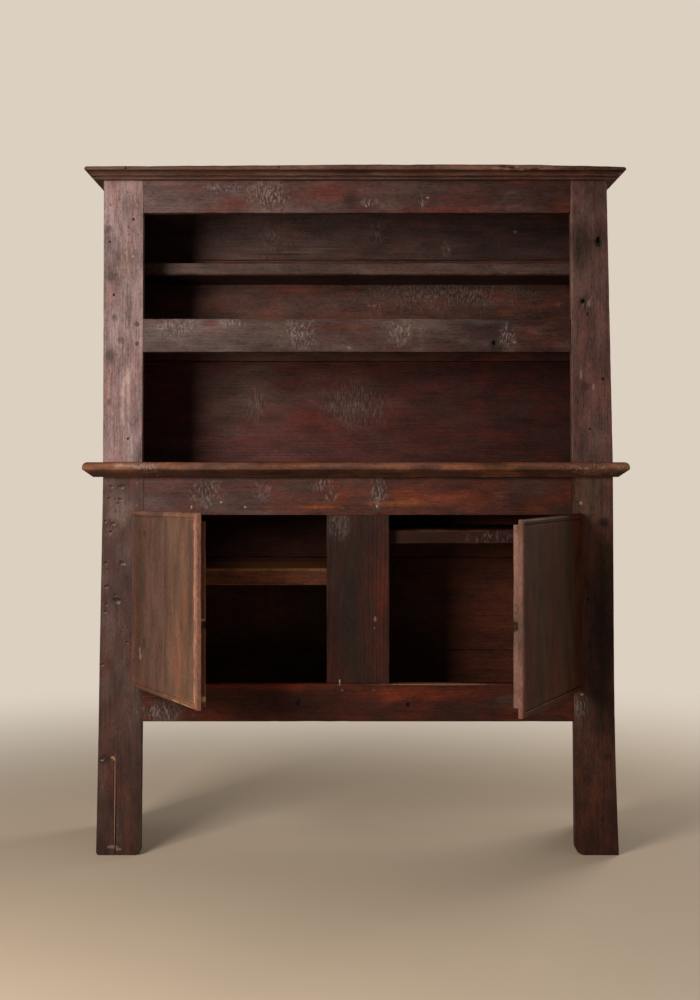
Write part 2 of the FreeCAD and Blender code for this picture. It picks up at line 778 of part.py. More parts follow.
def batten_nail_list(inner_bottom, inner_top, joint_x):
    """Returns the nails driven from behind through the battens into the door's boards."""
    back = inner_part_thickness - lip_frame_clearance + batten_thickness
    x0 = batten_end_gap + nail_from_edge - opening_half_width
    x1 = -batten_end_gap - nail_from_edge - muntin_width / 2
    length = batten_thickness + inner_part_thickness * nail_bite_share
    nails = []
    for middle in (inner_bottom + batten_from_edge + batten_height / 2,
                   inner_top - batten_from_edge - batten_height / 2):
        for x in (x0, joint_x - nail_from_edge, joint_x + nail_from_edge, x1):
            nails.append(nail(x, back, middle, Vector(0, -1, 0), length))
    return nails


def make_door(prefix, lip_edge, pivot_x, over_top_hinge, over_top_free, under_hinge, under_free,
              inner_top_clearance, inner_bottom_clearance):
    """Returns a shut left-hand door's nodes, and the frame's hinge pieces that go with it."""
    insets = (0, door_border_width, door_border_width + door_quirk_width)
    corners, field, inside_quirk = [door_outline(lip_edge, over_top_hinge, over_top_free, under_hinge,
                                                 under_free, inset) for inset in insets]
    slab = make_door_slab(corners, field, inside_quirk, inner_top_clearance, inner_bottom_clearance)
    levels = hinge_levels(corners)
    inner_bottom = bottom_rail_top + inner_bottom_clearance
    inner_top = door_opening_top - inner_top_clearance

    free_edge = -inner_part_side_clearance - muntin_width / 2
    middle = (inner_bottom + inner_top) / 2 - door_notch_below_middle
    notch_x = free_edge + door_notch_radius - door_notch_depth
    notch = Part.makeCylinder(door_notch_radius, inner_part_thickness + overrun,
                              Vector(notch_x, 0, middle), Vector(0, 1, 0))
    slab = slab.cut(notch)

    joint_x = corners[0][0] + (corners[1][0] - corners[0][0]) * door_joint_share
    nails = batten_nail_list(inner_bottom, inner_top, joint_x)
    battens = [cut_all(batten, nails) for batten in make_battens(inner_bottom, inner_top)]
    leaves = [make_door_leaf(lip_edge, pivot_x, level) for level in levels]
    leaf_nails = []
    leaf_holes = []
    frame_leaves = []
    frame_holes = []
    frame_nails = []
    pins = []
    back = -lip_frame_clearance
    for level in levels:
        for x, z in hinge_nail_places(level, -lip_edge, leaf_width):
            leaf_nails.append(rod_along_y(x, z, back - hinge_nail_length, back, hinge_nail_radius))
            leaf_holes.append(rod_along_y(x, z, back - hinge_nail_length - hinge_nail_fit, back + overrun,
                                          hinge_nail_radius + hinge_nail_fit))
        for x, z in hinge_nail_places(level, -pivot_x, leaf_width):
            frame_nails.append(rod_along_y(x, z, 0, hinge_frame_nail_length, hinge_nail_radius))
            frame_holes.append(rod_along_y(x, z, -overrun, hinge_frame_nail_length + hinge_nail_fit,
                                           hinge_nail_radius + hinge_nail_fit))
        frame_leaves.append(make_frame_leaf(pivot_x, level))
        pins.append(make_hinge_pin(pivot_x, level))
    leaves = [cut_all(leaf, leaf_holes) for leaf in leaves]
    frame_leaves = [cut_all(leaf, frame_holes) for leaf in frame_leaves]
    recesses = [door_leaf_plate(lip_edge, level) for level in levels]
    slab = cut_all(slab, recesses + leaf_holes + nails)

    high = door_opening_top + top_rail_height
    hinge_half = slab.common(block(-leg_outer_top, joint_x, -case_depth, case_depth, 0, high))
    free_half = slab.common(block(joint_x, 0, -case_depth, case_depth, 0, high))
    door = {
        prefix + "_hinge_side_board": hinge_half,
        prefix + "_free_side_board": free_half,
        prefix + "_battens": group(battens),
        prefix + "_hinge_leaves": group(leaves),
        prefix + "_nails": group(nails + leaf_nails),
    }
    frame = {"leaves": frame_leaves, "pins": pins, "nails": frame_nails, "holes": frame_holes}
    frame["recesses"] = [frame_leaf_plate(pivot_x, level) for level in levels]
    return door, frame


def opened(shape, x, angle):
    """Returns a shut door's piece turned open about the upright pivot line at x."""
    shape = shape.copy()
    shape.rotate(Vector(x, pivot_y, 0), Vector(0, 0, 1), angle)
    return shape


def make_base(nodes, left_frame, right_frame):
    """Adds the base case: legs, rails, muntin, sides, partition, bottom board, shelves and back."""
    left_plank = make_left_leg()
    right_plank = make_right_leg()
    bottom_rail, bottom_tenon = make_rail(left_plank, right_plank, leg_clearance, bottom_rail_top)
    top_rail, top_tenon = make_rail(left_plank, right_plank, door_opening_top, base_height)
    muntin, muntin_tenon = make_muntin(bottom_rail, top_rail)

    pegs = []
    for z0, z1 in ((leg_clearance, bottom_rail_top), (door_opening_top, base_height)):
        for edge_x in (-opening_half_width, opening_half_width):
            pegs += rail_peg_places(edge_x, z0, z1)
    peg_x = muntin_width * muntin_peg_share
    for x in (-peg_x, peg_x):
        pegs.append((x, bottom_rail_top - peg_from_shoulder))
        pegs.append((x, door_opening_top + peg_from_shoulder))
    side_pegs = []
    for z in (side_peg_low, side_peg_high):
        side_pegs.append((left_side_face(z) + side_thickness / 2, z))
        side_pegs.append((right_side_face(z) - side_thickness / 2, z))
    holes = [peg_hole(x, z, frame_thickness + overrun) for x, z in pegs]
    side_holes = [peg_hole(x, z, side_peg_length + peg_fit) for x, z in side_pegs]
    proud_pegs = []
    for x, z in side_pegs:
        start = Vector(x, -side_peg_proud, z)
        length = side_peg_length + side_peg_proud
        proud_pegs.append(whittled_rod(start, Vector(0, 1, 0), length, peg_radius))

    left_side = side_board(left_side_face, 1, 0, base_height)
    right_side = side_board(right_side_face, -1, 0, base_height)
    left_inner, right_inner = inner_faces(left_side_face, right_side_face)
    bottom_board = board_between(left_inner, right_inner, bottom_board_bottom, bottom_board_top,
                                 frame_thickness, case_inner_depth, housing_depth)
    half = partition_thickness / 2
    partition = block(-half, half, frame_thickness, case_inner_depth, bottom_board_top, base_height)

    shelf_front = frame_thickness + shelf_setback
    gap = shelf_end_gap
    top = left_shelf_bottom + left_shelf_thickness
    left_shelf = board_between(left_inner, lambda z: -half, left_shelf_bottom, top,
                               shelf_front, case_inner_depth, -gap)
    top = right_shelf_bottom + right_shelf_thickness
    right_shelf = board_between(lambda z: half, right_inner, right_shelf_bottom, top,
                                shelf_front, case_inner_depth, -gap)
    left_cleats = [(left_inner, 1, left_shelf_bottom), (lambda z: -half, -1, left_shelf_bottom)]
    right_cleats = [(right_inner, -1, right_shelf_bottom), (lambda z: half, 1, right_shelf_bottom)]
    cleat_solids = []
    nails = []
    for face, inward, level in left_cleats + right_cleats:
        these = cleat_nails(face, inward, level, shelf_front)
        cleat_solids.append(cut_all(cleat_on(face, inward, level, shelf_front), these))
        nails += these

    def uprights(z):
        inset = side_thickness / 2
        places = [left_side_face(z) + inset, right_side_face(z) - inset]
        if z > bottom_board_top:
            places.append(0)
        return places

    boards, back_nails = back_boards(left_side_face, right_side_face, bottom_board_bottom, base_height,
                                     base_back_joint_shares, uprights)
    z = (bottom_board_bottom + bottom_board_top) / 2 + bottom_board_nail_rise
    board_nails = []
    sunk_holes = []
    for x in (-bottom_board_nail_left, bottom_board_nail_right):
        board_nails.append(nail(x, sunk_nail_depth, z, Vector(0, 1, 0), frame_thickness + nail_length / 2))
        sunk_holes.append(whittled_rod(Vector(x, -overrun, z), Vector(0, 1, 0), overrun + sunk_nail_depth,
                                       sunk_nail_radius))
    left_plank = cut_all(left_plank, [bottom_tenon, top_tenon] + holes + side_holes
                         + left_frame["recesses"] + left_frame["holes"])
    right_plank = cut_all(right_plank, [bottom_tenon, top_tenon] + holes + side_holes
                          + right_frame["recesses"] + right_frame["holes"])
    nodes["left_front_leg"] = left_plank
    nodes["right_front_leg"] = right_plank
    nodes["base_top_rail"] = cut_all(top_rail, [muntin_tenon] + holes)
    nodes["base_bottom_rail"] = cut_all(bottom_rail, [muntin_tenon] + holes + board_nails + sunk_holes)
    nodes["center_muntin"] = cut_all(muntin, holes)
    fixings = side_holes + nails + back_nails
    nodes["base_left_side"] = cut_all(left_side, [bottom_board] + fixings)
    nodes["base_right_side"] = cut_all(right_side, [bottom_board] + fixings)
    nodes["partition"] = cut_all(partition, nails + back_nails)
    nodes["bottom_board"] = cut_all(bottom_board, back_nails + board_nails)
    nodes["left_shelf"] = shelf_with_arris(left_shelf, shelf_arris, False)
    nodes["right_shelf"] = shelf_with_arris(right_shelf, shelf_arris, False)
    nodes["left_shelf_cleats"] = group(cleat_solids[:2])
    nodes["right_shelf_cleats"] = group(cleat_solids[2:])
    for name, board in zip(("low", "middle", "high"), boards):
        nodes["base_back_board_" + name] = cut_all(board, back_nails)
    nodes["base_frame_pegs"] = group([peg(x, z, peg_length) for x, z in pegs])
    nodes["base_side_pegs"] = group(proud_pegs)
    nodes["base_nails"] = group(nails + back_nails + board_nails)


def make_rack(nodes):
    """Adds the rack: stiles, rails, sides, shelves, back, top board and crown."""
    left_stile = make_rack_stile(left_stile_outer_bottom, left_stile_outer_top,
                                 left_stile_inner_bottom, left_stile_inner_top, -1)
    right_stile = make_rack_stile(leg_outer_top, right_stile_outer_top, opening_half_width,
                                  right_stile_inner_top, 1)
    mid_rail, mid_tenon = make_rail(left_stile, right_stile, mid_rail_bottom, mid_rail_top)
    frieze, frieze_tenon = make_rail(left_stile, right_stile, frieze_bottom, rack_case_top)
    pegs = []
    for z0, z1 in ((mid_rail_bottom, mid_rail_top), (frieze_bottom, crown_bottom)):
        for edge_x in (-opening_half_width, opening_half_width):
            pegs += rail_peg_places(edge_x, z0, z1)
    side_pegs = []
    for z in (counter_top + rack_side_peg_inset, crown_bottom - rack_side_peg_inset):
        side_pegs.append((left_rack_face(z) + side_thickness / 2, z))
        side_pegs.append((right_rack_face(z) - side_thickness / 2, z))
    holes = [peg_hole(x, z, frame_thickness + overrun) for x, z in pegs]
    side_holes = [peg_hole(x, z, side_peg_length + peg_fit) for x, z in side_pegs]

    left_side = side_board(left_rack_face, 1, counter_top, rack_case_top)
    right_side = side_board(right_rack_face, -1, counter_top, rack_case_top)
    left_inner, right_inner = inner_faces(left_rack_face, right_rack_face)
    mid_shelf = board_between(left_inner, right_inner, mid_shelf_bottom, mid_shelf_top,
                              frame_thickness, case_inner_depth, -shelf_end_gap)
    upper_shelf = board_between(left_inner, right_inner, upper_shelf_bottom,
                                upper_shelf_bottom + upper_shelf_thickness,
                                upper_shelf_setback, case_inner_depth, -shelf_end_gap)
    cleats = []
    nails = []
    for level, front in ((mid_shelf_bottom, frame_thickness), (upper_shelf_bottom, upper_shelf_setback)):
        for face, inward in ((left_inner, 1), (right_inner, -1)):
            these = cleat_nails(face, inward, level, front)
            cleats.append(cut_all(cleat_on(face, inward, level, front), these))
            nails += these

    def uprights(z):
        inset = side_thickness / 2
        return [left_rack_face(z) + inset, right_rack_face(z) - inset]

    boards, back_nails = back_boards(left_rack_face, right_rack_face, counter_top, rack_case_top,
                                     rack_back_joint_shares, uprights)

    left = left_stile_outer(crown_bottom)
    right = right_stile_outer(crown_bottom)
    top_board = block(left, right, 0, case_depth, rack_case_top, crown_top)
    front, left_return, right_return = make_crown(left, right)
    top_nails = []
    z = rack_case_top
    for x in (left_rack_face(z) + side_thickness / 2, right_rack_face(z) - side_thickness / 2):
        for y in (frame_thickness + nail_from_edge, case_depth / 2, case_inner_depth - nail_from_edge):
            top_nails.append(nail(x, y, crown_top, Vector(0, 0, -1)))

    moulding_nails = crown_nails(left, right)

    nodes["rack_left_stile"] = cut_all(left_stile, [mid_tenon, frieze_tenon] + holes + side_holes)
    nodes["rack_right_stile"] = cut_all(right_stile, [mid_tenon, frieze_tenon] + holes + side_holes
                                        + knot_holes(right_stile_knot_holes))
    nodes["mid_rail"] = cut_all(mid_rail, holes + knot_holes(mid_rail_knot_holes))
    nodes["frieze_rail"] = cut_all(frieze, holes)
    fixings = side_holes + nails + back_nails + top_nails
    nodes["rack_left_side"] = cut_all(left_side, fixings)
    nodes["rack_right_side"] = cut_all(right_side, fixings)
    nodes["mid_shelf"] = mid_shelf
    nodes["upper_shelf"] = shelf_with_arris(upper_shelf, upper_shelf_chamfer, True)
    nodes["mid_shelf_cleats"] = group(cleats[:2])
    nodes["upper_shelf_cleats"] = group(cleats[2:])
    for name, board in zip(("low", "middle", "high"), boards):
        nodes["rack_back_board_" + name] = cut_all(board, back_nails)
    nodes["top_board"] = cut_all(top_board, top_nails + moulding_nails)
    nodes["crown_front"] = cut_all(front, moulding_nails)
    nodes["crown_left_return"] = cut_all(left_return, moulding_nails)
    nodes["crown_right_return"] = cut_all(right_return, moulding_nails)
    nodes["rack_frame_pegs"] = group([peg(x, z, peg_length) for x, z in pegs])
    nodes["rack_side_pegs"] = group([peg(x, z, side_peg_length) for x, z in side_pegs])
    nodes["rack_nails"] = group(nails + back_nails + top_nails)
    nodes["crown_nails"] = group(moulding_nails)


def make_counter(nodes):
    """Adds the counter board with the dowels that place it on the base and the rack on it."""
    rear = case_inner_depth - nail_from_edge
    front = frame_thickness / 2
    inset = side_thickness / 2
    base_places = [(dowel_from_edge - leg_outer_top, front), (leg_outer_top - dowel_from_edge, front)]
    z = base_height
    base_places += [(left_side_face(z) + inset, rear), (right_side_face(z) - inset, rear)]
    z = counter_top
    rack_places = [(left_stile_outer(z) + 2 * dowel_from_edge, front)]
    rack_places.append((right_stile_outer(z) - 2 * dowel_from_edge, front))
    rear -= dowel_rear_shift
    rack_places += [(left_rack_face(z) + inset, rear), (right_rack_face(z) - inset, rear)]
    base_dowels = dowels_at(base_places, base_height)
    rack_dowels = dowels_at(rack_places, counter_top)
    base_holes = dowel_holes(base_places, base_height)
    rack_holes = dowel_holes(rack_places, counter_top)
    nodes["counter_board"] = cut_all(make_counter_board(), base_holes + rack_holes)
    for name in ("left_front_leg", "right_front_leg", "base_left_side", "base_right_side"):
        nodes[name] = cut_all(nodes[name], base_holes)
    for name in ("rack_left_stile", "rack_right_stile", "rack_left_side", "rack_right_side"):
        nodes[name] = cut_all(nodes[name], rack_holes)
    nodes["counter_dowels"] = group(base_dowels)
    nodes["rack_dowels"] = group(rack_dowels)


def main():
    """Makes every node, moves the origin to the middle of the rest pose on the floor, and writes it."""
    left_door, left_frame = make_door("left_door", left_lip_edge, left_pivot_x,
                                      left_over_top_hinge, left_over_top_free,
                                      left_under_bottom_hinge, left_under_bottom_free,
                                      left_inner_top_clearance, left_inner_bottom_clearance)
    right_door, right_frame = make_door("right_door", right_lip_edge, right_pivot_x,
                                        right_over_top_hinge, right_over_top_free,
                                        right_under_bottom_hinge, right_under_bottom_free,
                                        right_inner_top_clearance, right_inner_bottom_clearance)
    right_frame = {key: mirrored(shapes) for key, shapes in right_frame.items()}
    nodes = {}
    make_base(nodes, left_frame, right_frame)
    make_rack(nodes)
    make_counter(nodes)
    for side, frame in (("left", left_frame), ("right", right_frame)):
        nodes[side + "_hinge_frame_leaves"] = group(frame["leaves"])
        nodes[side + "_hinge_pins"] = group(frame["pins"])
    nodes["hinge_frame_nails"] = group(left_frame["nails"] + right_frame["nails"])
    for name, shape in left_door.items():
        nodes[name] = opened(shape, -left_pivot_x, -left_door_open_angle)
    for name, shape in right_door.items():
        nodes[name] = opened(mirrored([shape])[0], right_pivot_x, right_door_open_angle)

    box = group(list(nodes.values())).BoundBox
    origin = Vector(box.Center.x, box.Center.y, 0)
    os.makedirs("parts", exist_ok=True)
    for name, shape in nodes.items():
        shape.translate(origin * -1)
        shape.exportStep("parts/" + name + ".step")
    print("nodes", len(nodes), "origin at X %.3f Y %.3f" % (origin.x, origin.y))
    places = (-left_pivot_x - origin.x, right_pivot_x - origin.x, pivot_y - origin.y)
    print("left pivot X %.3f, right pivot X %.3f, Y %.3f" % places)


main()
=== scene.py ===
from functools import partial
import json
import math

import bmesh
import bpy
from bpy.props import FloatProperty, FloatVectorProperty, PointerProperty
from mathutils import Euler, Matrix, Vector, noise


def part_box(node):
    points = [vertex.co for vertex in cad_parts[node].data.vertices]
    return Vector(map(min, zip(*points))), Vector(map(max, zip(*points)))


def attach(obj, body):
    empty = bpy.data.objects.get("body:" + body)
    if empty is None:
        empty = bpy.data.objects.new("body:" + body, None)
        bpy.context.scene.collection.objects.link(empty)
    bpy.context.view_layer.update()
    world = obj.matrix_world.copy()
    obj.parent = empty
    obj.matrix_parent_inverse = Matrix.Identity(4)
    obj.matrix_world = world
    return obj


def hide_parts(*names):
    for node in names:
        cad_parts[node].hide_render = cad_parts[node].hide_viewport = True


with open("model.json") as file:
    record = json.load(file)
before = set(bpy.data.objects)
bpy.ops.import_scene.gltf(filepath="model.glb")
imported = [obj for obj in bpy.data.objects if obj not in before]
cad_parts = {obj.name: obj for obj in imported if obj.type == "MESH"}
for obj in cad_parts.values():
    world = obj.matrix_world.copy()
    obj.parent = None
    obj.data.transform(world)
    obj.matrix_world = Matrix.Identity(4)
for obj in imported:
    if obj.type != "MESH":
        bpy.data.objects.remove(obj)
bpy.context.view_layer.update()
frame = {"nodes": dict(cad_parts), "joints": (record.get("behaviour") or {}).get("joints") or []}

bl_info = {
    "name": "Court cupboard finish",
    "version": (1, 0, 0),
    "blender": (4, 5, 0),
    "location": "3D View > Sidebar > Cupboard",
    "description": "Ages the boards of a stained pine court cupboard and sets its stage",
    "category": "Object",
}


def linear(code):
    """Returns an sRGB hex code as linear red, green, blue and a full alpha."""
    values = []
    for start in (1, 3, 5):
        share = int(code[start:start + 2], 16) / 255
        values.append(share / 12.92 if share <= 0.04045 else ((share + 0.055) / 1.055) ** 2.4)
    return (*values, 1.0)


def shaded(colour, factor):
    """Returns a linear colour made darker or lighter by a factor."""
    return (*[min(value * factor, 1.0) for value in colour[:3]], 1.0)


# The middle of the face frame's front, in the frame's own X and Y
MIDDLE_X = 0.00525
FRONT_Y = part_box("base_top_rail")[0].y

# How much faster a mark ends into a board's depth, where it is on the front alone
FRONT_ONLY = 250000

# The turns that lay the grain on Z, for boards whose length runs along X, Y and Z
GRAIN_TURNS = ((0, math.radians(-90), 0), (math.radians(90), 0, 0), (0, 0, 0))

# Arrises shorter than this, or blunter than this angle, stay sharp
SHORTEST_ARRIS = 0.035
ARRIS_ANGLE = math.radians(30)

# Points closer than this are one, and faces that differ by less than this are flat
WELD_DISTANCE = 0.000002
FLAT_ANGLE = math.radians(0.4)

# Long and short nicks in a metre of worn edge, the noise they start at, and their share beside it
LONG_NICKS, SHORT_NICKS = 22, 75
NICK_LEVEL = 0.06
BESIDE_EDGE = 0.35

# Shares of the crown's height where its wear begins and is full, the least wear, and its ripples
WEAR_START, WEAR_FULL = 0.55, 0.9
LEAST_DROP = 0.0004
RIPPLE_DEPTH, RIPPLES = 0.0007, 30

# Points this close to a cut lie on it
CUT_DISTANCE = 0.00001

# Shading breaks at edges sharper than this
SHARP_ANGLE = math.radians(35)

# Patches in a metre: of thicker and thinner stain, and of torn varnish
TINT_PATCHES = 21
TORN_PATCHES = 38

# What lies further back than this in front of the frame is a door's inner part
LIP_PLAY = 0.0003

# The middle of a door's height and a half height past both its ends, in millimetres
DOOR_MIDDLE_Z, WHOLE_DOOR = 640, 600

CAMERA_DISTANCE = 4.157
EYE_HEIGHT = 0.975
FLOOR_RADIUS = 40.0

# Bruises down the left front leg, as (x, z, half width) in millimetres, like the marks below
LEFT_LEG_BRUISES = ((-617, 922, 4), (-591, 923, 6), (-622, 892, 3), (-595, 890, 4), (-631, 835, 3),
        (-612, 830, 5), (-620, 808, 4), (-590, 732, 6), (-632, 730, 3), (-629, 672, 4), (-603, 638, 7),
        (-630, 627, 3), (-633, 609, 4), (-577, 532, 3), (-640, 477, 4), (-577, 567, 2), (-606, 650, 3),
        (-599, 880, 3))

# What the boards look like. body is the stain's colour at a board's left or lower end and far at
# the other end, warm the colour where the stain is thin, and inner gives the colours of a door's back
# and inner edge, with that edge's x. Along the rails and the counter far is darker than body, and the
# boards at the left are lighter than those at the right, partly as painted falloff of the lamp's light
# from the left. lines, mottle and rings say how strong the grain is, and warmth, bloom, specks, dents,
# edge and flakes how much there is of each; bloom is grey bloom of dry wax with painted sheen in it,
# and edge lays pale worn wood on the arrises, which also stands for painted highlights on edges that
# catch the lamp. Marks are (x, z, half width, half height) in millimetres, with x from the middle of
# the front and z from the floor: rubs are thin stain, pitted is wood with open pores, flecked has dry
# varnish between them with painted glints on it, crazed is varnish in upright flakes, fans is varnish
# that flaked round a knot, and washes and chips are marks with a colour of their own, soft and sharp;
# some rubs, washes and chips are painted highlights and painted shade, as said where they stand. On a
# door they are as if it were shut, and on a board that is front_only they stay off the back.
FRAME_BOARDS = {
    # On the left stile the grey bloom and the pale flecks are largely painted sheen and painted glints of
    # the lamp at the left
    "rack_left_stile": dict(
        lines=1.2, body="#766266", far="#856F72", warm="#89625E", warmth=0.7, bloom=0.9, specks=0.8,
        dents=0.25,
        washes=[("#5E4C47", [(-611, 1450, 22, 24), (-619, 1240, 16, 26), (-573, 1356, 6, 26),
                (-561, 1620, 20, 26), (-548, 1000, 8, 30), (-575, 1490, 30, 34)]),
            ("#A38B85", [(-574, 1168, 5, 56), (-588, 1110, 4, 50)])],
        pitted=[(-574, 1560, 30, 130), (-612, 1230, 22, 60), (-578, 1380, 18, 60)],
        flecked=[(-578, 1560, 30, 130), (-584, 1270, 30, 120), (-600, 1080, 30, 60)],
        knots=[(-623, 1564, 8, 10), (-608, 1343, 7, 10), (-594, 1287, 7, 8), (-622, 1132, 6, 9),
            (-618, 1446, 9, 12), (-619, 1250, 10, 14)],
        holes=[(-561, 1589, 3, 4), (-575, 1041, 3, 3), (-620, 1533, 3, 3), (-610, 1400, 3, 4)],
        chips=[("#2E1C1A", [(-552, 1327, 5, 6), (-552, 1278, 5, 6)]), ("#A08C86", [(-562, 1496, 3, 3)])],
    ),
    "rack_right_stile": dict(
        body="#563D3A", far="#4E3634", warm="#65403B", warmth=0.6, bloom=0.3, specks=0.6, dents=0.3,
        washes=[("#6A5048", [(533, 1300, 4, 500), (612, 1040, 9, 14)]),
            ("#32221D", [(602, 1540, 12, 30), (566, 1376, 14, 18), (560, 1530, 26, 40)])],
        knots=[(569, 1172, 13, 10)],
        pitted=[(586, 1516, 22, 80), (572, 1375, 16, 30), (596, 1090, 20, 60)],
        flecked=[(578, 1372, 12, 22)],
        holes=[(601, 1532, 8, 11), (560, 1384, 6, 6), (574, 1352, 3, 5), (613, 1190, 4, 4),
            (580, 1065, 3, 3)],
        chips=[("#7E665C", [(577, 1378, 4, 8), (557, 1201, 3, 12), (588, 1170, 4, 8)])],
    ),
    "frieze_rail": dict(
        body="#594343", far="#2A1009", warm="#57271E", warmth=0.6, bloom=0.25, specks=0.35,
        rubs=[(-75, 1657, 72, 20), (-308, 1628, 36, 14), (210, 1614, 110, 8)],
        washes=[("#57433C", [(-225, 1648, 50, 38)]), ("#48362F", [(75, 1642, 26, 28)]),
            ("#2E1E19", [(-18, 1640, 16, 22)])],
        crazed=[(-337, 1667, 34, 10), (-225, 1648, 46, 36), (28, 1625, 22, 13), (160, 1625, 14, 16)],
        chips=[("#9A7E6C", [(174, 1643, 4, 2)])],
    ),
    "mid_rail": dict(
        body="#574747", far="#220905", warm="#48221A", warmth=0.5, bloom=0.3, specks=0.4,
        rubs=[(-367, 1330, 15, 8), (470, 1296, 70, 34), (-40, 1318, 90, 14)],
        washes=[("#4C3C36", [(-220, 1300, 60, 34), (105, 1305, 50, 34)]),
            ("#1E130F", [(341, 1272, 10, 14), (354, 1268, 6, 9)])],
        crazed=[(-457, 1322, 40, 22), (-311, 1330, 32, 9)],
        flecked=[(-460, 1320, 40, 20)],
        fans=[(-145, 1300, 34, 38), (108, 1306, 38, 30), (369, 1296, 20, 24)],
        chips=[("#7C665C", [(-22, 1268, 4, 3), (391, 1282, 4, 3)])],
    ),
    "left_front_leg": dict(
        body="#311D17", far="#4A3431", warm="#4C2922", warmth=0.6, bloom=0.35, specks=0.35, dents=0.6,
        bruises=LEFT_LEG_BRUISES,
        rubs=[(-560, 928, 26, 16), (-628, 480, 12, 26), (-610, 200, 22, 50)],
        washes=[("#6A5550", [(-600, 860, 34, 40)]), ("#30201B", [(-560, 120, 16, 110)]),
            ("#1E120E", [(-634, 242, 11, 9)])],
        fans=[(-618, 804, 14, 12)],
        pitted=[(-608, 900, 26, 30), (-622, 820, 16, 24)],
        # The dark line at x -610 is the split in the leg with painted shade in it, the pale lines beside it
        # at x -607.5 and -608.5 are a painted highlight on its edge, and the pale mark at (-639, 237) is a
        # painted highlight on the proud peg
        chips=[("#1A0E0A", [(-610, 250, 1.2, 60), (-610, 130, 1.2, 120), (-634, 242, 7, 2)]),
            ("#8A6650", [(-607.5, 185, 1, 60), (-608.5, 90, 1, 75)]),
            ("#A07858", [(-613, 244, 4, 3), (-609, 240, 2, 4)]), ("#7C6A60", [(-639, 237, 4, 2)]),
            ("#76584E", [(-613, 21, 13, 4), (-600, 15, 9, 3)])],
    ),
    "right_front_leg": dict(
        body="#2B120C", far="#5B3C31", warm="#4C271A", warmth=0.5, bloom=0.12, specks=0.3, dents=0.4,
        washes=[("#46362F", [(580, 900, 34, 50), (557, 372, 24, 24)]), ("#1F1410", [(606, 560, 26, 190)]),
            ("#150C09", [(613, 830, 12, 10), (622, 245, 10, 9)])],
        crazed=[(556, 374, 22, 20)],
        holes=[(574, 640, 3, 3)],
        chips=[("#8C7668", [(557, 880, 4, 4), (560, 402, 4, 3)])],
    ),
    "base_top_rail": dict(
        body="#4C3534", far="#321309", warm="#602912", warmth=0.55, bloom=0.15, specks=0.3, dents=0.2,
        rubs=[(-110, 872, 100, 12), (-42, 896, 34, 26), (120, 888, 66, 34), (250, 892, 80, 24)],
        washes=[("#463730", [(-377, 900, 34, 36), (50, 907, 20, 38), (-90, 926, 24, 16)]),
            ("#8A4E2C", [(-112, 869, 40, 4), (105, 878, 60, 8)])],
        crazed=[(-377, 902, 34, 34), (-90, 928, 24, 14), (50, 907, 20, 36)],
        fans=[(-235, 905, 20, 18), (-66, 893, 14, 12)],
        chips=[("#A48A7E", [(-416, 870, 2, 4), (-342, 882, 3, 2), (-282, 870, 3, 2), (47, 872, 2, 4)])],
    ),
    "base_bottom_rail": dict(
        body="#3B1204", far="#270E09", warm="#5C2009", warmth=0.5, specks=0.2, dents=0.2,
        # The rub along the top edge at the left, at z 423, and the pale line along it at the right, at z
        # 427, are worn edge with a painted highlight where the edge catches the lamp
        rubs=[(-232, 423, 150, 8), (150, 405, 120, 18)],
        washes=[("#3E322C", [(-490, 360, 44, 22), (430, 380, 60, 20)])],
        crazed=[(-490, 358, 44, 20)],
        holes=[(-148, 386, 6, 6), (126, 375, 6, 6)],
        chips=[("#7A5842", [(200, 427, 130, 2)]), ("#9A8474", [(-46, 432, 2, 7)])],
    ),
    "center_muntin": dict(
        rings=0.04, flakes=0.5, lines=0.5, body="#2B110A", far="#27130B", warm="#3F140A", warmth=0.6,
        dents=0.2,
        rubs=[(58, 660, 16, 170)],
        washes=[("#463A34", [(-50, 826, 26, 24)]), ("#221510", [(-10, 600, 22, 150)])],
        crazed=[(-50, 822, 26, 34)],
        chips=[("#6E5E54", [(43, 590, 3, 6), (41, 568, 2, 2)]), ("#A89684", [(-46, 434, 2, 6)])],
    ),
}

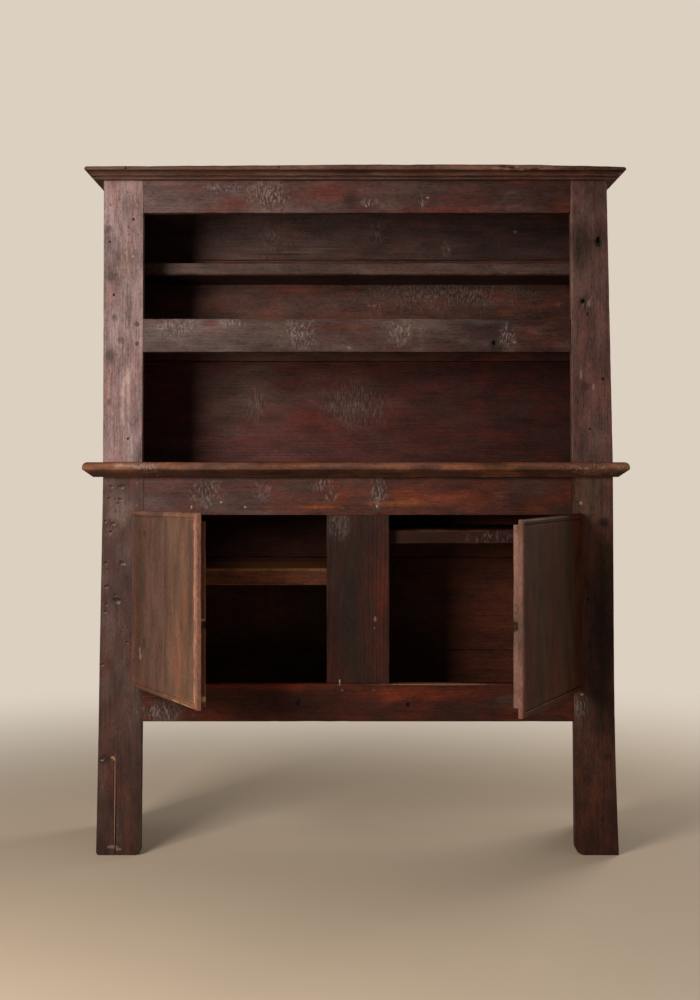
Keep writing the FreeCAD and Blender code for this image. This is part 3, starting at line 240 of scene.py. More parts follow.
# Boards behind the face frame
PANEL_BOARDS = {
    "base_left_side": dict(rings=0.04, body="#543A32", warm="#683C2C", bloom=0.35, dents=0.5),
    "base_right_side": dict(rings=0.04, body="#452E26", warm="#5A3426", bloom=0.3, dents=0.5),
    "rack_left_side": dict(rings=0.04, body="#563E36", warm="#683C2C", bloom=0.35, dents=0.4),
    "rack_right_side": dict(rings=0.04, body="#47312A", warm="#5A3426", bloom=0.3, dents=0.4),
    "partition": dict(body="#3A2016", warm="#4E2616"),
    "bottom_board": dict(body="#381E14", warm="#5E3018"),
    "left_shelf": dict(
        body="#58301F", warm="#95512A", edge=0.5,
        # The pale line at z 713 along the front of the top is a painted highlight on the lit edge
        chips=[("#8A5A36", [(-225, 713, 170, 2)])],
    ),
    "right_shelf": dict(
        body="#270A03", warm="#300C04", bloom=0.03, edge=0.2, flakes=0.5,
        crazed=[(330, 793, 56, 16)],
    ),
    "mid_shelf": dict(body="#452C24", warm="#5E3728", bloom=0.15),
    "upper_shelf": dict(body="#483531", warm="#4D291F", bloom=0.2, edge=0.25, warmth=0.2, specks=0.15),
    "top_board": dict(body="#56433A", warm="#644032", bloom=0.4),
    "base_back_board_low": dict(body="#451E0F", warm="#4C2617"),
    "base_back_board_middle": dict(body="#471E0F", warm="#4C2617", specks=0.2),
    "base_back_board_high": dict(body="#451E0F", warm="#4C2617"),
    "rack_back_board_low": dict(
        front_only=True, body="#5B302E", far="#230B06", warm="#561C11", warmth=0.55, bloom=0.08, specks=0.2,
        craze_height=0.15, flakes=0.5,
        rubs=[(-90, 1100, 110, 30)],
        washes=[("#4C3731", [(-330, 1150, 110, 70), (-14, 1142, 76, 50)])],
        crazed=[(-277, 1142, 26, 36), (-14, 1142, 76, 54)],
        knots=[(-181, 1180, 8, 9)],
    ),
    "rack_back_board_middle": dict(
        front_only=True, body="#5C3C35", far="#3C2520", warm="#6F3629", warmth=0.6, bloom=0.08, specks=0.2,
        craze_height=0.3, flakes=0.75,
        washes=[("#4E3B33", [(240, 1448, 190, 34)])],
        crazed=[(240, 1448, 186, 34), (50, 1404, 18, 16)],
    ),
    "rack_back_board_high": dict(
        front_only=True, body="#59413F", far="#291A18", warm="#5F372D", bloom=0.1, dents=0.2, flakes=0.55,
        washes=[("#4C362E", [(-110, 1550, 90, 5), (60, 1610, 20, 24), (242, 1566, 14, 22)])],
        fans=[(-214, 1582, 38, 34), (52, 1606, 26, 26), (242, 1566, 16, 20)],
        knots=[(-214, 1556, 9, 7), (40, 1590, 8, 8), (181, 1575, 6, 6)],
        chips=[("#63504A", [(-150, 1556, 62, 1.8), (-96, 1564, 70, 1.5)]),
            ("#1C110D", [(-214, 1549, 70, 1.6)]), ("#6E5A50", [(430, 1611, 5, 4), (250, 1562, 3, 5)])],
    ),
}

# Painted shade in the two quirks of the crown moulding
PAINTED_QUIRK_SHADE = ("#2C1A14", [(0, 1703.5, 2000, 1.6), (0, 1692, 2000, 1.6)])

CROWN_BOARDS = {
    "crown_front": dict(
        body="#573C34", far="#432922", warm="#62382B", bloom=0.25, specks=0.5, dents=0.3, edge=0.3,
        # The lighter wash along the top at z 1713 is a painted highlight on the top fillet
        washes=[("#6B4C40", [(-100, 1713, 900, 6)]), PAINTED_QUIRK_SHADE],
        chips=[("#7E6450", [(342, 1709, 12, 2.5), (368, 1707, 10, 2), (392, 1713, 6, 3),
                (404, 1706, 6, 2)]),
            ("#2A1812", [(356, 1714, 10, 2), (380, 1711, 8, 3), (440, 1707, 10, 3)])],
    ),
    "crown_left_return": dict(body="#543A30", warm="#62382B", bloom=0.25, edge=0.3, washes=[PAINTED_QUIRK_SHADE]),
    "crown_right_return": dict(body="#462C24", warm="#62382B", bloom=0.2, edge=0.3, washes=[PAINTED_QUIRK_SHADE]),
}

COUNTER_BOARDS = {
    "counter_board": dict(
        body="#724B3A", far="#5F3A2C", warm="#885231", warmth=0.6, bloom=0.3, specks=0.8, dents=0.4,
        edge=0.45,
        # The dark wash along the whole length at z 952 is painted shade on the lower part of the rounded
        # nose
        washes=[("#28150E", [(0, 952, 2000, 13)]), ("#8E7268", [(-545, 974, 34, 6), (-590, 974, 14, 5)]),
            ("#7E5A40", [(650, 974, 40, 12)])],
        crazed=[(-530, 970, 40, 10), (590, 965, 60, 12)],
    ),
}

LEFT_DOOR_BOARDS = {
    "left_door_hinge_side_board": dict(
        body="#5C443B", warm="#6F4837", inner=("#4A3023", "#573323", -81.5), warmth=0.35, bloom=0.15,
        specks=0.15, dents=0.1, edge=0.05, rings=0.03, lines=0.5, mottle=0.6,
        # The reddish washes down the hinge edge and along the bottom edge, and the pale one along the top
        # edge, are painted highlights
        washes=[("#4C372E", [(-505, 660, 44, 190)]), ("#75402A", [(-548, 500, 6, 70), (-470, 438, 70, 5)]),
            ("#7A5646", [(-480, 861, 80, 7)])],
        knots=[(-453, 807, 8, 10), (-453, 540, 9, 14)],
        chips=[("#7E6A5A", [(-490, 520, 8, 7), (-484, 506, 12, 9)])],
    ),
    "left_door_free_side_board": dict(
        body="#634B3F", warm="#754E3B", inner=("#4A3023", "#573323", -81.5), warmth=0.45, bloom=0.15,
        specks=0.15, dents=0.1, edge=0.5, rings=0.03, lines=0.5, mottle=0.6,
        rubs=[(-200, 520, 40, 60), (-150, 640, 24, 60)],
        # The pink bead at x -74 is partly a painted highlight, and the brighter stripe on it, the wash
        # along the bottom edge at z 440 and the one along the top edge are painted highlights
        washes=[("#80564A", [(-74, 640, 8, 420)]), ("#B07C6A", [(-76, 720, 2.6, 170), (-77, 500, 1.6, 60)]),
            ("#5A3E30", [(-84, 640, 1.6, 420)]), ("#4A362E", [(-300, 640, 26, 170), (-110, 720, 14, 150)]),
            ("#7C5238", [(-150, 440, 90, 6)]), ("#7A5646", [(-200, 861, 150, 7)])],
        # The golden chips down the lip's side at x -66 are painted glints, and the pale chips down the
        # quirk at x -86 and along the bottom lip are painted highlights
        chips=[("#5E4030", [(-66, 720, 0.9, 130), (-66, 600, 0.9, 30)]),
            ("#9A6632", [(-66, 545, 0.8, 34), (-66, 480, 0.8, 16), (-66, 448, 0.8, 9)]),
            ("#B88E6C", [(-86, 838, 3, 9), (-86, 796, 2.4, 12), (-85, 742, 2.2, 14), (-86, 690, 2.6, 20),
                (-85, 636, 2.4, 12), (-86, 566, 2.8, 26), (-85, 510, 2.4, 12), (-86, 470, 3, 20),
                (-79, 450, 4, 7), (-130, 431, 40, 1.6), (-210, 431, 26, 1.6)])],
    ),
}

RIGHT_DOOR_BOARDS = {
    "right_door_hinge_side_board": dict(
        body="#4E220A", warm="#582108", warmth=0.7, bloom=0.03, specks=0.3, edge=0.3, rings=0.03,
        lines=0.35,
        washes=[("#46311F", [(430, 640, 70, 200)])],
        knots=[(410, 719, 10, 12)],
    ),
    "right_door_free_side_board": dict(
        body="#4C2109", warm="#5F2509", warmth=0.7, bloom=0.03, specks=0.3, edge=0.3, rings=0.03,
        lines=0.35, inner=("#4A3023", "#73564C", 81.5),
        # The pale wash at x 71 down the free edge is a painted highlight where the lamp lights that edge
        washes=[("#46311F", [(140, 700, 50, 130), (210, 560, 40, 90)]), ("#72554C", [(71, 640, 8, 420)]),
            ("#6A5E5A", [(74, 600, 6, 26)])],
        knots=[(242, 766, 12, 14), (204, 574, 10, 10), (196, 478, 9, 12)],
    ),
}

ROUGH_PINE_NODES = ("left_shelf_cleats", "right_shelf_cleats", "mid_shelf_cleats", "upper_shelf_cleats",
        "left_door_battens", "right_door_battens")
BASE_PEG_NODES = ("base_frame_pegs", "base_side_pegs", "counter_dowels")
RACK_PEG_NODES = ("rack_frame_pegs", "rack_side_pegs", "rack_dowels")
IRON_NODES = ("base_nails", "rack_nails", "crown_nails", "left_hinge_frame_leaves",
        "right_hinge_frame_leaves", "left_hinge_pins", "right_hinge_pins", "hinge_frame_nails",
        "left_door_hinge_leaves", "right_door_hinge_leaves", "left_door_nails", "right_door_nails")

# Pegs whose end grain took the stain darker than the wood round them
DARK_BASE_PEGS = ((-620, 838, 9, 9), (-634, 242, 9, 9), (613, 830, 9, 9), (622, 245, 9, 9))
DARK_RACK_PEGS = ((-552, 1327, 9, 9), (-552, 1278, 9, 9))

# How far the crown's top edge has worn down, as (x, drop) in millimetres along the front
CROWN_DROPS = ((-690, 6.0), (-445, 4.6), (-250, 3.2), (-145, 2.4), (5, 1.0), (180, 0.9), (305, 0.4),
        (380, 1.2), (455, 1.6), (500, 3.6), (560, 4.2), (600, 5.6), (680, 8.6))


class CupboardWear(bpy.types.PropertyGroup):
    """How far the boards are worn."""

    arris: FloatProperty(name="Arris", description="Width that wear has taken off a board's edges",
            default=0.0018, min=0.0002, unit="LENGTH")
    nick: FloatProperty(name="Nick", description="Depth of the nicks along a worn edge", default=0.0026,
            min=0.0, unit="LENGTH")
    spacing: FloatProperty(name="Spacing",
            description="Distance between the points that a worn edge bends at", default=0.016, min=0.004,
            unit="LENGTH")


class CupboardFinish(bpy.types.PropertyGroup):
    """Sizes and colours of the finish."""

    ring_width: FloatProperty(name="Ring width", description="Width of one growth ring", default=0.0075,
            min=0.001, unit="LENGTH")
    line_width: FloatProperty(name="Line width", description="Width of a line of the grain", default=0.003,
            min=0.0005, unit="LENGTH")
    band_width: FloatProperty(name="Band width",
            description="Width of a band where the stain took more or less", default=0.012, min=0.001,
            unit="LENGTH")
    blotch_width: FloatProperty(name="Blotch width", description="Width of a blotch in the stain",
            default=0.045, min=0.005, unit="LENGTH")
    pore_width: FloatProperty(name="Pore width", description="Width of a dark speck in the wood",
            default=0.0034, min=0.0005, unit="LENGTH")
    flake_width: FloatProperty(name="Flake width", description="Width of a flake in crazed varnish",
            default=0.0036, min=0.001, unit="LENGTH")
    dent_spacing: FloatProperty(name="Dent spacing",
            description="Distance between places that may be dented", default=0.021, min=0.005,
            unit="LENGTH")
    # The bloom colour also carries painted sheen, and is the base of the painted glints and highlights
    bloom: FloatVectorProperty(name="Bloom", description="Colour of dry wax and dust",
            default=linear("#8E8280"), size=4, min=0, max=1, subtype="COLOR")
    # The flake colour's cool grey-blue is partly a painted reflection of the sky on the lifted varnish
    flake: FloatVectorProperty(name="Flake", description="Colour of lifted varnish",
            default=linear("#8C8287"), size=4, min=0, max=1, subtype="COLOR")
    bare_wood: FloatVectorProperty(name="Bare wood", description="Colour where the stain has worn through",
            default=linear("#A67B55"), size=4, min=0, max=1, subtype="COLOR")
    soot: FloatVectorProperty(name="Soot", description="Colour of knots, holes and dirt",
            default=linear("#150D0A"), size=4, min=0, max=1, subtype="COLOR")


class CupboardStage(bpy.types.PropertyGroup):
    """Floor, background, lamps and camera."""

    floor: FloatVectorProperty(name="Floor", description="Colour of the plain floor",
            default=linear("#CDBDA9"), size=4, min=0, max=1, subtype="COLOR")
    background: FloatVectorProperty(name="Background", description="Colour behind the cupboard",
            default=linear("#DCD0C1"), size=4, min=0, max=1, subtype="COLOR")
    window_power: FloatProperty(name="Window", description="Power of the soft lamp at the left in front",
            default=95.0, min=0.0, max=2000.0, unit="POWER")
    fill_power: FloatProperty(name="Fill", description="Power of the soft lamp at the right behind",
            default=45.0, min=0.0, max=2000.0, unit="POWER")
    sky: FloatProperty(name="Sky", description="Level of the even light from all sides", default=0.2,
            min=0.0, max=2.0, subtype="FACTOR")
    lens: FloatProperty(name="Lens", description="Focal length of the camera", default=59.9, min=10.0,
            max=300.0, unit="CAMERA")


def add_node(tree, kind, inputs=None, stops=None, **settings):
    """Adds a shader node with its settings, links or values, and colour stops, and returns it."""
    made = tree.nodes.new("ShaderNode" + kind)
    for key, value in settings.items():
        setattr(made, key, value)
    for key, value in (inputs or {}).items():
        socket = made.inputs[key]
        if isinstance(value, bpy.types.Node):
            value = next(output for output in value.outputs if output.enabled)
        if isinstance(value, bpy.types.NodeSocket):
            tree.links.new(value, socket)
        else:
            socket.default_value = value
    if stops:
        elements = made.color_ramp.elements
        while len(elements) < len(stops):
            elements.new(1.0)
        for element, (position, level) in zip(elements, stops):
            element.position = position
            element.color = (level, level, level, 1.0)
    return made


def new_material(name):
    """Returns a fresh material and the function that adds nodes to it."""
    material = bpy.data.materials.new(name)
    material.use_nodes = True
    material.node_tree.nodes.clear()
    return material, partial(add_node, material.node_tree)


def reckon(add, operation, *values):
    """Returns a sum on masks and numbers, such as MULTIPLY_ADD for first * second + third."""
    return add("Math", dict(enumerate(values)), operation=operation)


def clouds(add, place, scale, detail, **inputs):
    """Returns a pattern of soft noise, with about so many clouds in a metre."""
    return add("TexNoise", {"Vector": place, "Scale": scale, "Detail": detail, **inputs})


def laid_over(add, colour, cover, share, level=1.0):
    """Returns a colour with another laid over it where a mask says, as thickly as level says."""
    thickness = reckon(add, "MULTIPLY", share, level)
    return add("Mix", {0: thickness, 6: colour, 7: cover}, data_type="RGBA")


def spots(add, place, marks, ragged, soft):
    """Returns a mask of oval marks with ragged edges, or None where there are none."""
    mask = None
    for x, z, half_width, half_height in marks:
        offset = add("Mapping", {"Vector": place, "Location": (x / 1000 + MIDDLE_X, 0, z / 1000),
                "Scale": (half_width / 1000, 1000, half_height / 1000)}, vector_type="TEXTURE")
        reach = add("VectorMath", {0: offset}, operation="LENGTH")
        edge = reckon(add, "ADD", reach.outputs["Value"], ragged)
        spot = add("MapRange", {"Value": edge, 1: 1.0 + soft, 2: 1.0 - soft},
                interpolation_type="SMOOTHSTEP")
        mask = spot if mask is None else reckon(add, "MAXIMUM", mask, spot)
    return mask


def curled_flakes(add, place, width, mask):
    """Returns the flakes of varnish that a mask lets through, and the pattern they are cut from."""
    curl = clouds(add, place, 1 / width, 2, Distortion=0.5)
    flake = add("MapRange", {"Value": curl, 1: 0.5, 2: 0.58})
    return reckon(add, "MULTIPLY", flake, mask), curl


def fan_of_flakes(add, place, mark, ragged, width):
    """Returns a mask of short flakes that spread upwards from a foot below an oval mark."""
    x, z, half_width, half_height = mark
    drop = 1.7 * half_height / 1000
    foot = add("Mapping", {"Vector": place, "Location": (x / 1000 + MIDDLE_X, 0, z / 1000 - drop)},
            vector_type="TEXTURE")
    parts = add("SeparateXYZ", {0: foot})
    slant = reckon(add, "DIVIDE", parts.outputs[0], parts.outputs[2])
    across = reckon(add, "MULTIPLY", slant, drop)
    spread = add("CombineXYZ", {0: across, 2: parts.outputs[2]})
    squeezed = add("Mapping", {"Vector": spread, "Location": (x, z, 0), "Scale": (1, 1, 0.3)})
    return curled_flakes(add, squeezed, width, spots(add, place, [mark], ragged, 0.5))[0]


def crazing(add, look, place, marked, torn, width):
    """Returns the flakes of a board's varnish and the gaps between them, or None where it has none."""
    flakes = None
    gaps = None
    crazed = spots(add, marked, look.get("crazed", ()), torn, 0.5)
    if crazed:
        upright = add("Mapping", {"Vector": place, "Scale": (1, 1, look.get("craze_height", 0.3))})
        flakes, curl = curled_flakes(add, upright, width, crazed)
        gap = add("MapRange", {"Value": curl, 1: 0.47, 2: 0.39})
        gaps = reckon(add, "MULTIPLY", gap, crazed)
    for mark in look.get("fans", ()):
        fan = fan_of_flakes(add, marked, mark, torn, width)
        flakes = fan if flakes is None else reckon(add, "MAXIMUM", flakes, fan)
    return flakes, gaps


def growth_rings(add, place, middle, seed, sway, swirls):
    """Returns growth rings round a pith some 5 cm off a board's middle, thrown off course."""
    ring_width = bpy.context.scene.cupboard_finish.ring_width
    heart = add("Mapping", {"Vector": place, "Scale": (1, 1, 0),
            "Location": (0.012 * (seed % 5 - 2) - middle.x, 0.05 + 0.004 * (seed % 11) - middle.y, 0)})
    radius = add("VectorMath", {0: heart}, operation="LENGTH")
    rings = reckon(add, "MULTIPLY", radius.outputs["Value"], 1 / ring_width)
    swayed = reckon(add, "MULTIPLY_ADD", sway, 6.0, rings)
    if swirls:
        swayed = reckon(add, "MULTIPLY_ADD", swirls, 4.0, swayed)
    turn_of_ring = reckon(add, "FRACT", swayed)
    return add("ValToRGB", {"Fac": turn_of_ring}, stops=((0, 0.0), (0.5, 0.25), (0.86, 1.0), (1.0, 0.0)))


def dents_in(add, board, pores, grain, share):
    """Returns masks of the lips and of the hollows of dents strewn over a board: the lip, shifted
    off the hollow, is a painted highlight on the lit wall of a dent, and the hollow is dirt and
    painted shade.
    """
    spacing = bpy.context.scene.cupboard_finish.dent_spacing
    lit_lip_shift = Euler(grain).to_matrix() @ Vector((-0.001, 0, 0.0012))
    masks = []
    for shift in (lit_lip_shift, Vector((0, 0, 0))):
        moved = add("Mapping", {"Vector": board, "Location": shift})
        cell = add("TexVoronoi", {"Vector": moved, "Scale": 1 / spacing})
        jagged = reckon(add, "MULTIPLY_ADD", pores, 0.2, cell.outputs["Distance"])
        dent = add("MapRange", {"Value": jagged, 1: 0.22, 2: 0.17})
        few = add("SeparateColor", {"Color": cell.outputs["Color"]})
        chosen = reckon(add, "GREATER_THAN", few, 1 - 0.3 * share)
        masks.append(reckon(add, "MULTIPLY", dent, chosen))
    return masks


def stained_pine(name, look, low, high, hinge=None):
    """Old pine under a dark red-brown stain, varnish and wax.

    It shows fine lines of grain, soft bands and blotches where the stain took more or less, warm
    wood where it is thin and a grey bloom of dry wax with painted sheen in it where it is thick, dark
    specks in the pores with pale flecks between them that carry painted glints, dents dark inside with
    dirt and painted shade and with a painted highlight on the lower lip, and varnish that has flaked in
    patches. low and high are the corners of the board's box, and hinge is the joint that the board
    swings on.
    """
    finish = bpy.context.scene.cupboard_finish
    material, add = new_material(name)
    seed = sum(ord(letter) for letter in name) % 97
    spans = list(high - low)
    axis = spans.index(max(spans))
    grain = GRAIN_TURNS[axis]
    body = linear(look["body"])
    warm = linear(look["warm"])

    # On a door the pattern is turned back to where the door would be if it were shut
    turn = Euler((0, 0, 0))
    pivot = Vector((0, 0, 0))
    if hinge:
        turn = Euler((0, 0, math.radians(hinge["axis"][2] * hinge["range_deg"][0])))
        pivot = Vector(hinge["pos_m"])
    place = add("TexCoord").outputs["Object"]
    place = add("Mapping", {"Vector": place, "Rotation": turn,
            "Location": pivot - turn.to_matrix() @ pivot})
    marked = place
    if look.get("front_only"):
        marked = add("Mapping", {"Vector": place, "Location": (0, -low.y * FRONT_ONLY, 0),
                "Scale": (1, FRONT_ONLY, 1)})

    # Each board is cut from another place in the pattern, which is drawn out along the grain
    turned = add("Mapping", {"Vector": place, "Rotation": grain})
    board = add("Mapping", {"Vector": turned, "Location": (seed * 0.37, seed * 0.11, seed * 1.3)})
    stretched = {}
    for key, share in (("lines", 0.03), ("bands", 0.12), ("blotches", 0.4), ("pores", 0.35)):
        stretched[key] = add("Mapping", {"Vector": board, "Scale": (1, 1, share)})

    lines = clouds(add, stretched["lines"], 1 / finish.line_width, 2)
    bands = clouds(add, stretched["bands"], 1 / finish.band_width, 3, Roughness=0.55)
    blotches = clouds(add, stretched["blotches"], 1 / finish.blotch_width, 6, Roughness=0.62)
    pores = clouds(add, stretched["pores"], 1 / finish.pore_width, 2)

    # The growth rings sway along the board and swirl round its knots
    knot_edge = reckon(add, "MULTIPLY_ADD", pores, 1.2, -0.6)
    knots = spots(add, marked, look.get("knots", ()), knot_edge, 0.45)
    swirls = spots(add, marked, [(x, z, w * 3, h * 3.4) for x, z, w, h in look.get("knots", ())], knot_edge,
            0.95)
    sway = clouds(add, stretched["bands"], 8, 2)
    middle = Euler(grain).to_matrix() @ place_of_shut((low + high) / 2, turn, pivot)
    ring = growth_rings(add, turned, middle, seed, sway, swirls)

    # The stain is darker and lighter in bands, blotches and lines
    colour = body
    # Along the rails and the counter the far colour is darker, partly as painted falloff of the lamp's
    # light from the left
    if "far" in look:
        along = add("SeparateXYZ", {0: place})
        share = add("MapRange", {"Value": along.outputs[axis], 1: low[axis], 2: high[axis]})
        colour = add("Mix", {0: share, 6: body, 7: linear(look["far"])}, data_type="RGBA")
    depth = look.get("mottle", 1.0)
    strengths = (2.2 * depth, 0.7 * depth, look.get("lines", 0.8), 1.5)
    level = 1 - sum(strengths) / 2
    for pattern, strength in zip((blotches, bands, lines, pores), strengths):
        level = reckon(add, "MULTIPLY_ADD", pattern, strength, level)
    ringed = reckon(add, "MULTIPLY_ADD", ring, -look.get("rings", 0.06), level)
    dimmed = reckon(add, "MAXIMUM", ringed, 0.25)

    # Warm wood shows where the stain is thin, and grey bloom of dry wax, with painted sheen in it, lies
    # where it is thick
    tint = clouds(add, stretched["blotches"], TINT_PATCHES, 5, Roughness=0.6)
    thin = add("MapRange", {"Value": tint, 1: 0.46, 2: 0.66, 4: look.get("warmth", 0.4)})
    ragged = reckon(add, "MULTIPLY_ADD", tint, 3.6, -1.8)
    rubbed_and_lit = spots(add, marked, look.get("rubs", ()), ragged, 0.8)
    if rubbed_and_lit:
        thin = reckon(add, "MAXIMUM", thin, rubbed_and_lit)
    colour = laid_over(add, colour, warm, thin, 0.9)
    waxed_and_sheen = add("MapRange", {"Value": tint, 1: 0.52, 2: 0.36, 4: look.get("bloom", 0.05)})
    wax_and_sheen = tuple(0.4 * grey + 0.6 * tone * 1.7 for grey, tone in zip(finish.bloom, body))
    colour = laid_over(add, colour, (*wax_and_sheen[:3], 1.0), waxed_and_sheen, 0.5)
    for code, marks in look.get("washes", ()):
        colour = laid_over(add, colour, linear(code), spots(add, marked, marks, ragged, 0.8), 0.8)
    if "inner" in look:
        back, edge, side = look["inner"]
        behind = add("SeparateXYZ", {0: place})
        inner = reckon(add, "GREATER_THAN", behind.outputs[1], FRONT_Y - LIP_PLAY)
        rim = spots(add, place, [(side, DOOR_MIDDLE_Z, 3, WHOLE_DOOR)], 0.0, 0.3)
        tone = add("Mix", {0: rim, 6: linear(back), 7: linear(edge)}, data_type="RGBA")
        colour = laid_over(add, colour, tone, inner)
    colour = add("VectorMath", {0: colour, 1: dimmed}, operation="MULTIPLY")

    # Dark specks gather in the pores of the darker blotches and where the wood is pitted, and
    # pale flecks of dry varnish with painted glints on them stand between the pores where it is flecked
    loose = clouds(add, place, TORN_PATCHES, 3)
    torn = reckon(add, "MULTIPLY_ADD", loose, 5.0, -2.5)
    gathered = add("MapRange", {"Value": blotches, 1: 0.56, 2: 0.42, 4: look.get("specks", 0.25)})
    pitted = spots(add, marked, look.get("pitted", ()), torn, 0.8)
    if pitted:
        gathered = reckon(add, "MAXIMUM", gathered, pitted)
    pore = add("MapRange", {"Value": pores, 1: 0.55, 2: 0.66})
    specks = reckon(add, "MULTIPLY", pore, gathered)
    colour = laid_over(add, colour, shaded(body, 0.25), specks, 0.9)
    flecked = spots(add, marked, look.get("flecked", ()), torn, 0.8)
    if flecked:
        dashes = clouds(add, stretched["bands"], 1 / finish.line_width, 2)
        pale = add("MapRange", {"Value": dashes, 1: 0.48, 2: 0.68})
        glint_flecks = reckon(add, "MULTIPLY", pale, flecked)
        colour = laid_over(add, colour, shaded(wax_and_sheen, 1.4), glint_flecks, 0.45)
    height = reckon(add, "MULTIPLY_ADD", lines, 0.6, ring)
    height = reckon(add, "MULTIPLY_ADD", specks, -1.5, height)

    # Crazed varnish: short pale flakes over a dull ground, ragged at the edges
    flakes, gaps = crazing(add, look, place, marked, torn, finish.flake_width)
    if gaps:
        colour = laid_over(add, colour, shaded(body, 0.35), gaps, 0.6)
    if flakes:
        patchy = add("MapRange", {"Value": loose, 1: 0.36, 2: 0.62, 3: 0.25})
        flakes = reckon(add, "MULTIPLY", flakes, patchy)
        # The flakes' cool tone is partly a painted reflection
        flake_and_reflection_tone = tuple(0.5 * pale + 0.5 * tone * 2.4 for pale, tone in zip(finish.flake, body))
        colour = laid_over(add, colour, (*flake_and_reflection_tone[:3], 1.0), flakes, look.get("flakes", 0.9))
        height = reckon(add, "MULTIPLY_ADD", flakes, 2.0, height)

    # Dents of a few millimetres, dark inside with dirt and painted shade, and pale below and to the
    # right with a painted highlight on the wall that faces the lamp
    lit_lip, hollow = dents_in(add, board, pores, grain, look.get("dents", 0.15))
    colour = laid_over(add, colour, shaded(body, 1.9), lit_lip, 0.7)
    colour = laid_over(add, colour, shaded(body, 0.25), hollow, 0.85)
    height = reckon(add, "MULTIPLY_ADD", hollow, -3.0, height)

    if knots:
        colour = laid_over(add, colour, shaded(body, 0.3), knots, 0.65)
    # Bruises: dark hollows with dirt and painted shade in them, and pale lips below and to the right that
    # are painted highlights
    bruises = look.get("bruises", ())
    if bruises:
        broken = reckon(add, "MULTIPLY_ADD", pores, 4.0, -2.0)
        lit_lips = spots(add, place, [(x + 0.5 * w, z - 0.8 * w, 0.8 * w, 0.5 * w) for x, z, w in bruises],
                broken, 0.5)
        hollows = spots(add, place, [(x, z, w, 0.7 * w) for x, z, w in bruises], broken, 0.5)
        colour = laid_over(add, colour, shaded(wax_and_sheen, 1.9), lit_lips, 0.65)
        colour = laid_over(add, colour, shaded(body, 0.25), hollows, 0.75)
        height = reckon(add, "MULTIPLY_ADD", hollows, -4.0, height)
    for code, marks in look.get("chips", ()):
        colour = laid_over(add, colour, linear(code), spots(add, marked, marks, knot_edge, 0.35), 0.85)
    holes = spots(add, marked, look.get("holes", ()), knot_edge, 0.3)
    if holes:
        colour = laid_over(add, colour, shaded(finish.soot, 0.6), holes, 0.95)
        height = reckon(add, "MULTIPLY_ADD", holes, -4.0, height)

    # Worn arrises show the wood below the stain; on boards with a high edge share this pale wood also
    # stands for painted highlights on edges that catch the lamp
    arris = add("Attribute", attribute_name="arris")
    wear = add("MapRange", {"Value": loose, 1: 0.42, 2: 0.66, 4: look.get("edge", 0.12)})
    worn = reckon(add, "MULTIPLY", arris.outputs["Fac"], wear)
    bare_and_highlight = tuple(0.5 * pale + 0.5 * tone * 2.2 for pale, tone in zip(finish.bare_wood, warm))
    colour = laid_over(add, colour, (*bare_and_highlight[:3], 1.0), worn)

    sheen = add("MapRange", {"Value": bands, 1: 0.3, 2: 0.7, 3: 0.46, 4: 0.68})
    relief = add("Bump", {"Height": height, "Distance": 0.0006, "Strength": 0.5})
    shader = add("BsdfPrincipled", {"Base Color": colour, "Roughness": sheen, "Normal": relief, "IOR": 1.48,
            "Specular IOR Level": 0.2})
    add("OutputMaterial", {"Surface": shader})
    return material


def place_of_shut(place, turn, pivot):
    """Returns where a place on an open door would be if the door were shut."""
    return pivot + turn.to_matrix() @ (place - pivot)


def rough_pine(name):
    """Sawn pine that was never stained on purpose, brown with age, with plain saw fibres."""
    material, add = new_material(name)
    place = add("TexCoord").outputs["Object"]
    lengthwise = add("Mapping", {"Vector": place, "Scale": (0.3, 0.05, 1)})
    fibres = clouds(add, lengthwise, 300, 4)
    colour = add("Mix", {0: fibres, 6: linear("#24140D"), 7: linear("#472B1C")}, data_type="RGBA")
    relief = add("Bump", {"Height": fibres, "Distance": 0.0006, "Strength": 0.6})
    shader = add("BsdfPrincipled", {"Base Color": colour, "Normal": relief, "Roughness": 0.75})
    add("OutputMaterial", {"Surface": shader})
    return material


def whittled_oak(name, left, right, dark):
    """Knife-cut oak pegs under the same stain as the boards round them, end grain towards the viewer.

    left and right are the stain's colours at the two sides, the right one darker partly as painted
    falloff of the lamp's light from the left, and dark lists the pegs that stayed dark.
    """
    material, add = new_material(name)
    place = add("TexCoord").outputs["Object"]
    along = add("SeparateXYZ", {0: place})
    share = add("MapRange", {"Value": along.outputs[0], 1: -0.6, 2: 0.6})
    stain = add("Mix", {0: share, 6: linear(left), 7: linear(right)}, data_type="RGBA")
    soot = bpy.context.scene.cupboard_finish.soot
    stain = laid_over(add, stain, tuple(soot), spots(add, place, dark, 0.0, 0.3), 0.85)
    pores = clouds(add, place, 420, 3)
    level = add("MapRange", {"Value": pores, 1: 0.3, 2: 0.7, 3: 0.45, 4: 1.45})
    colour = add("VectorMath", {0: stain, 1: level}, operation="MULTIPLY")
    relief = add("Bump", {"Height": pores, "Distance": 0.0004, "Strength": 0.5})
    shader = add("BsdfPrincipled", {"Base Color": colour, "Normal": relief, "Roughness": 0.6})
    add("OutputMaterial", {"Surface": shader})
    return material


def wrought_iron(name):
    """Hand-forged iron under old rust and wax: dark, with hammer marks and brown bloom."""
    material, add = new_material(name)
    place = add("TexCoord").outputs["Object"]
    rust = clouds(add, place, 160, 5)
    share = add("MapRange", {"Value": rust, 1: 0.42, 2: 0.6})
    colour = add("Mix", {0: share, 6: linear("#2B2725"), 7: linear("#4B2F22")}, data_type="RGBA")
    metal = add("MapRange", {"Value": share, 3: 0.85, 4: 0.15})
    relief = add("Bump", {"Height": rust, "Distance": 0.0004, "Strength": 0.6})
    shader = add("BsdfPrincipled", {"Base Color": colour, "Metallic": metal, "Normal": relief,
            "Roughness": 0.58})
    add("OutputMaterial", {"Surface": shader})
    return material


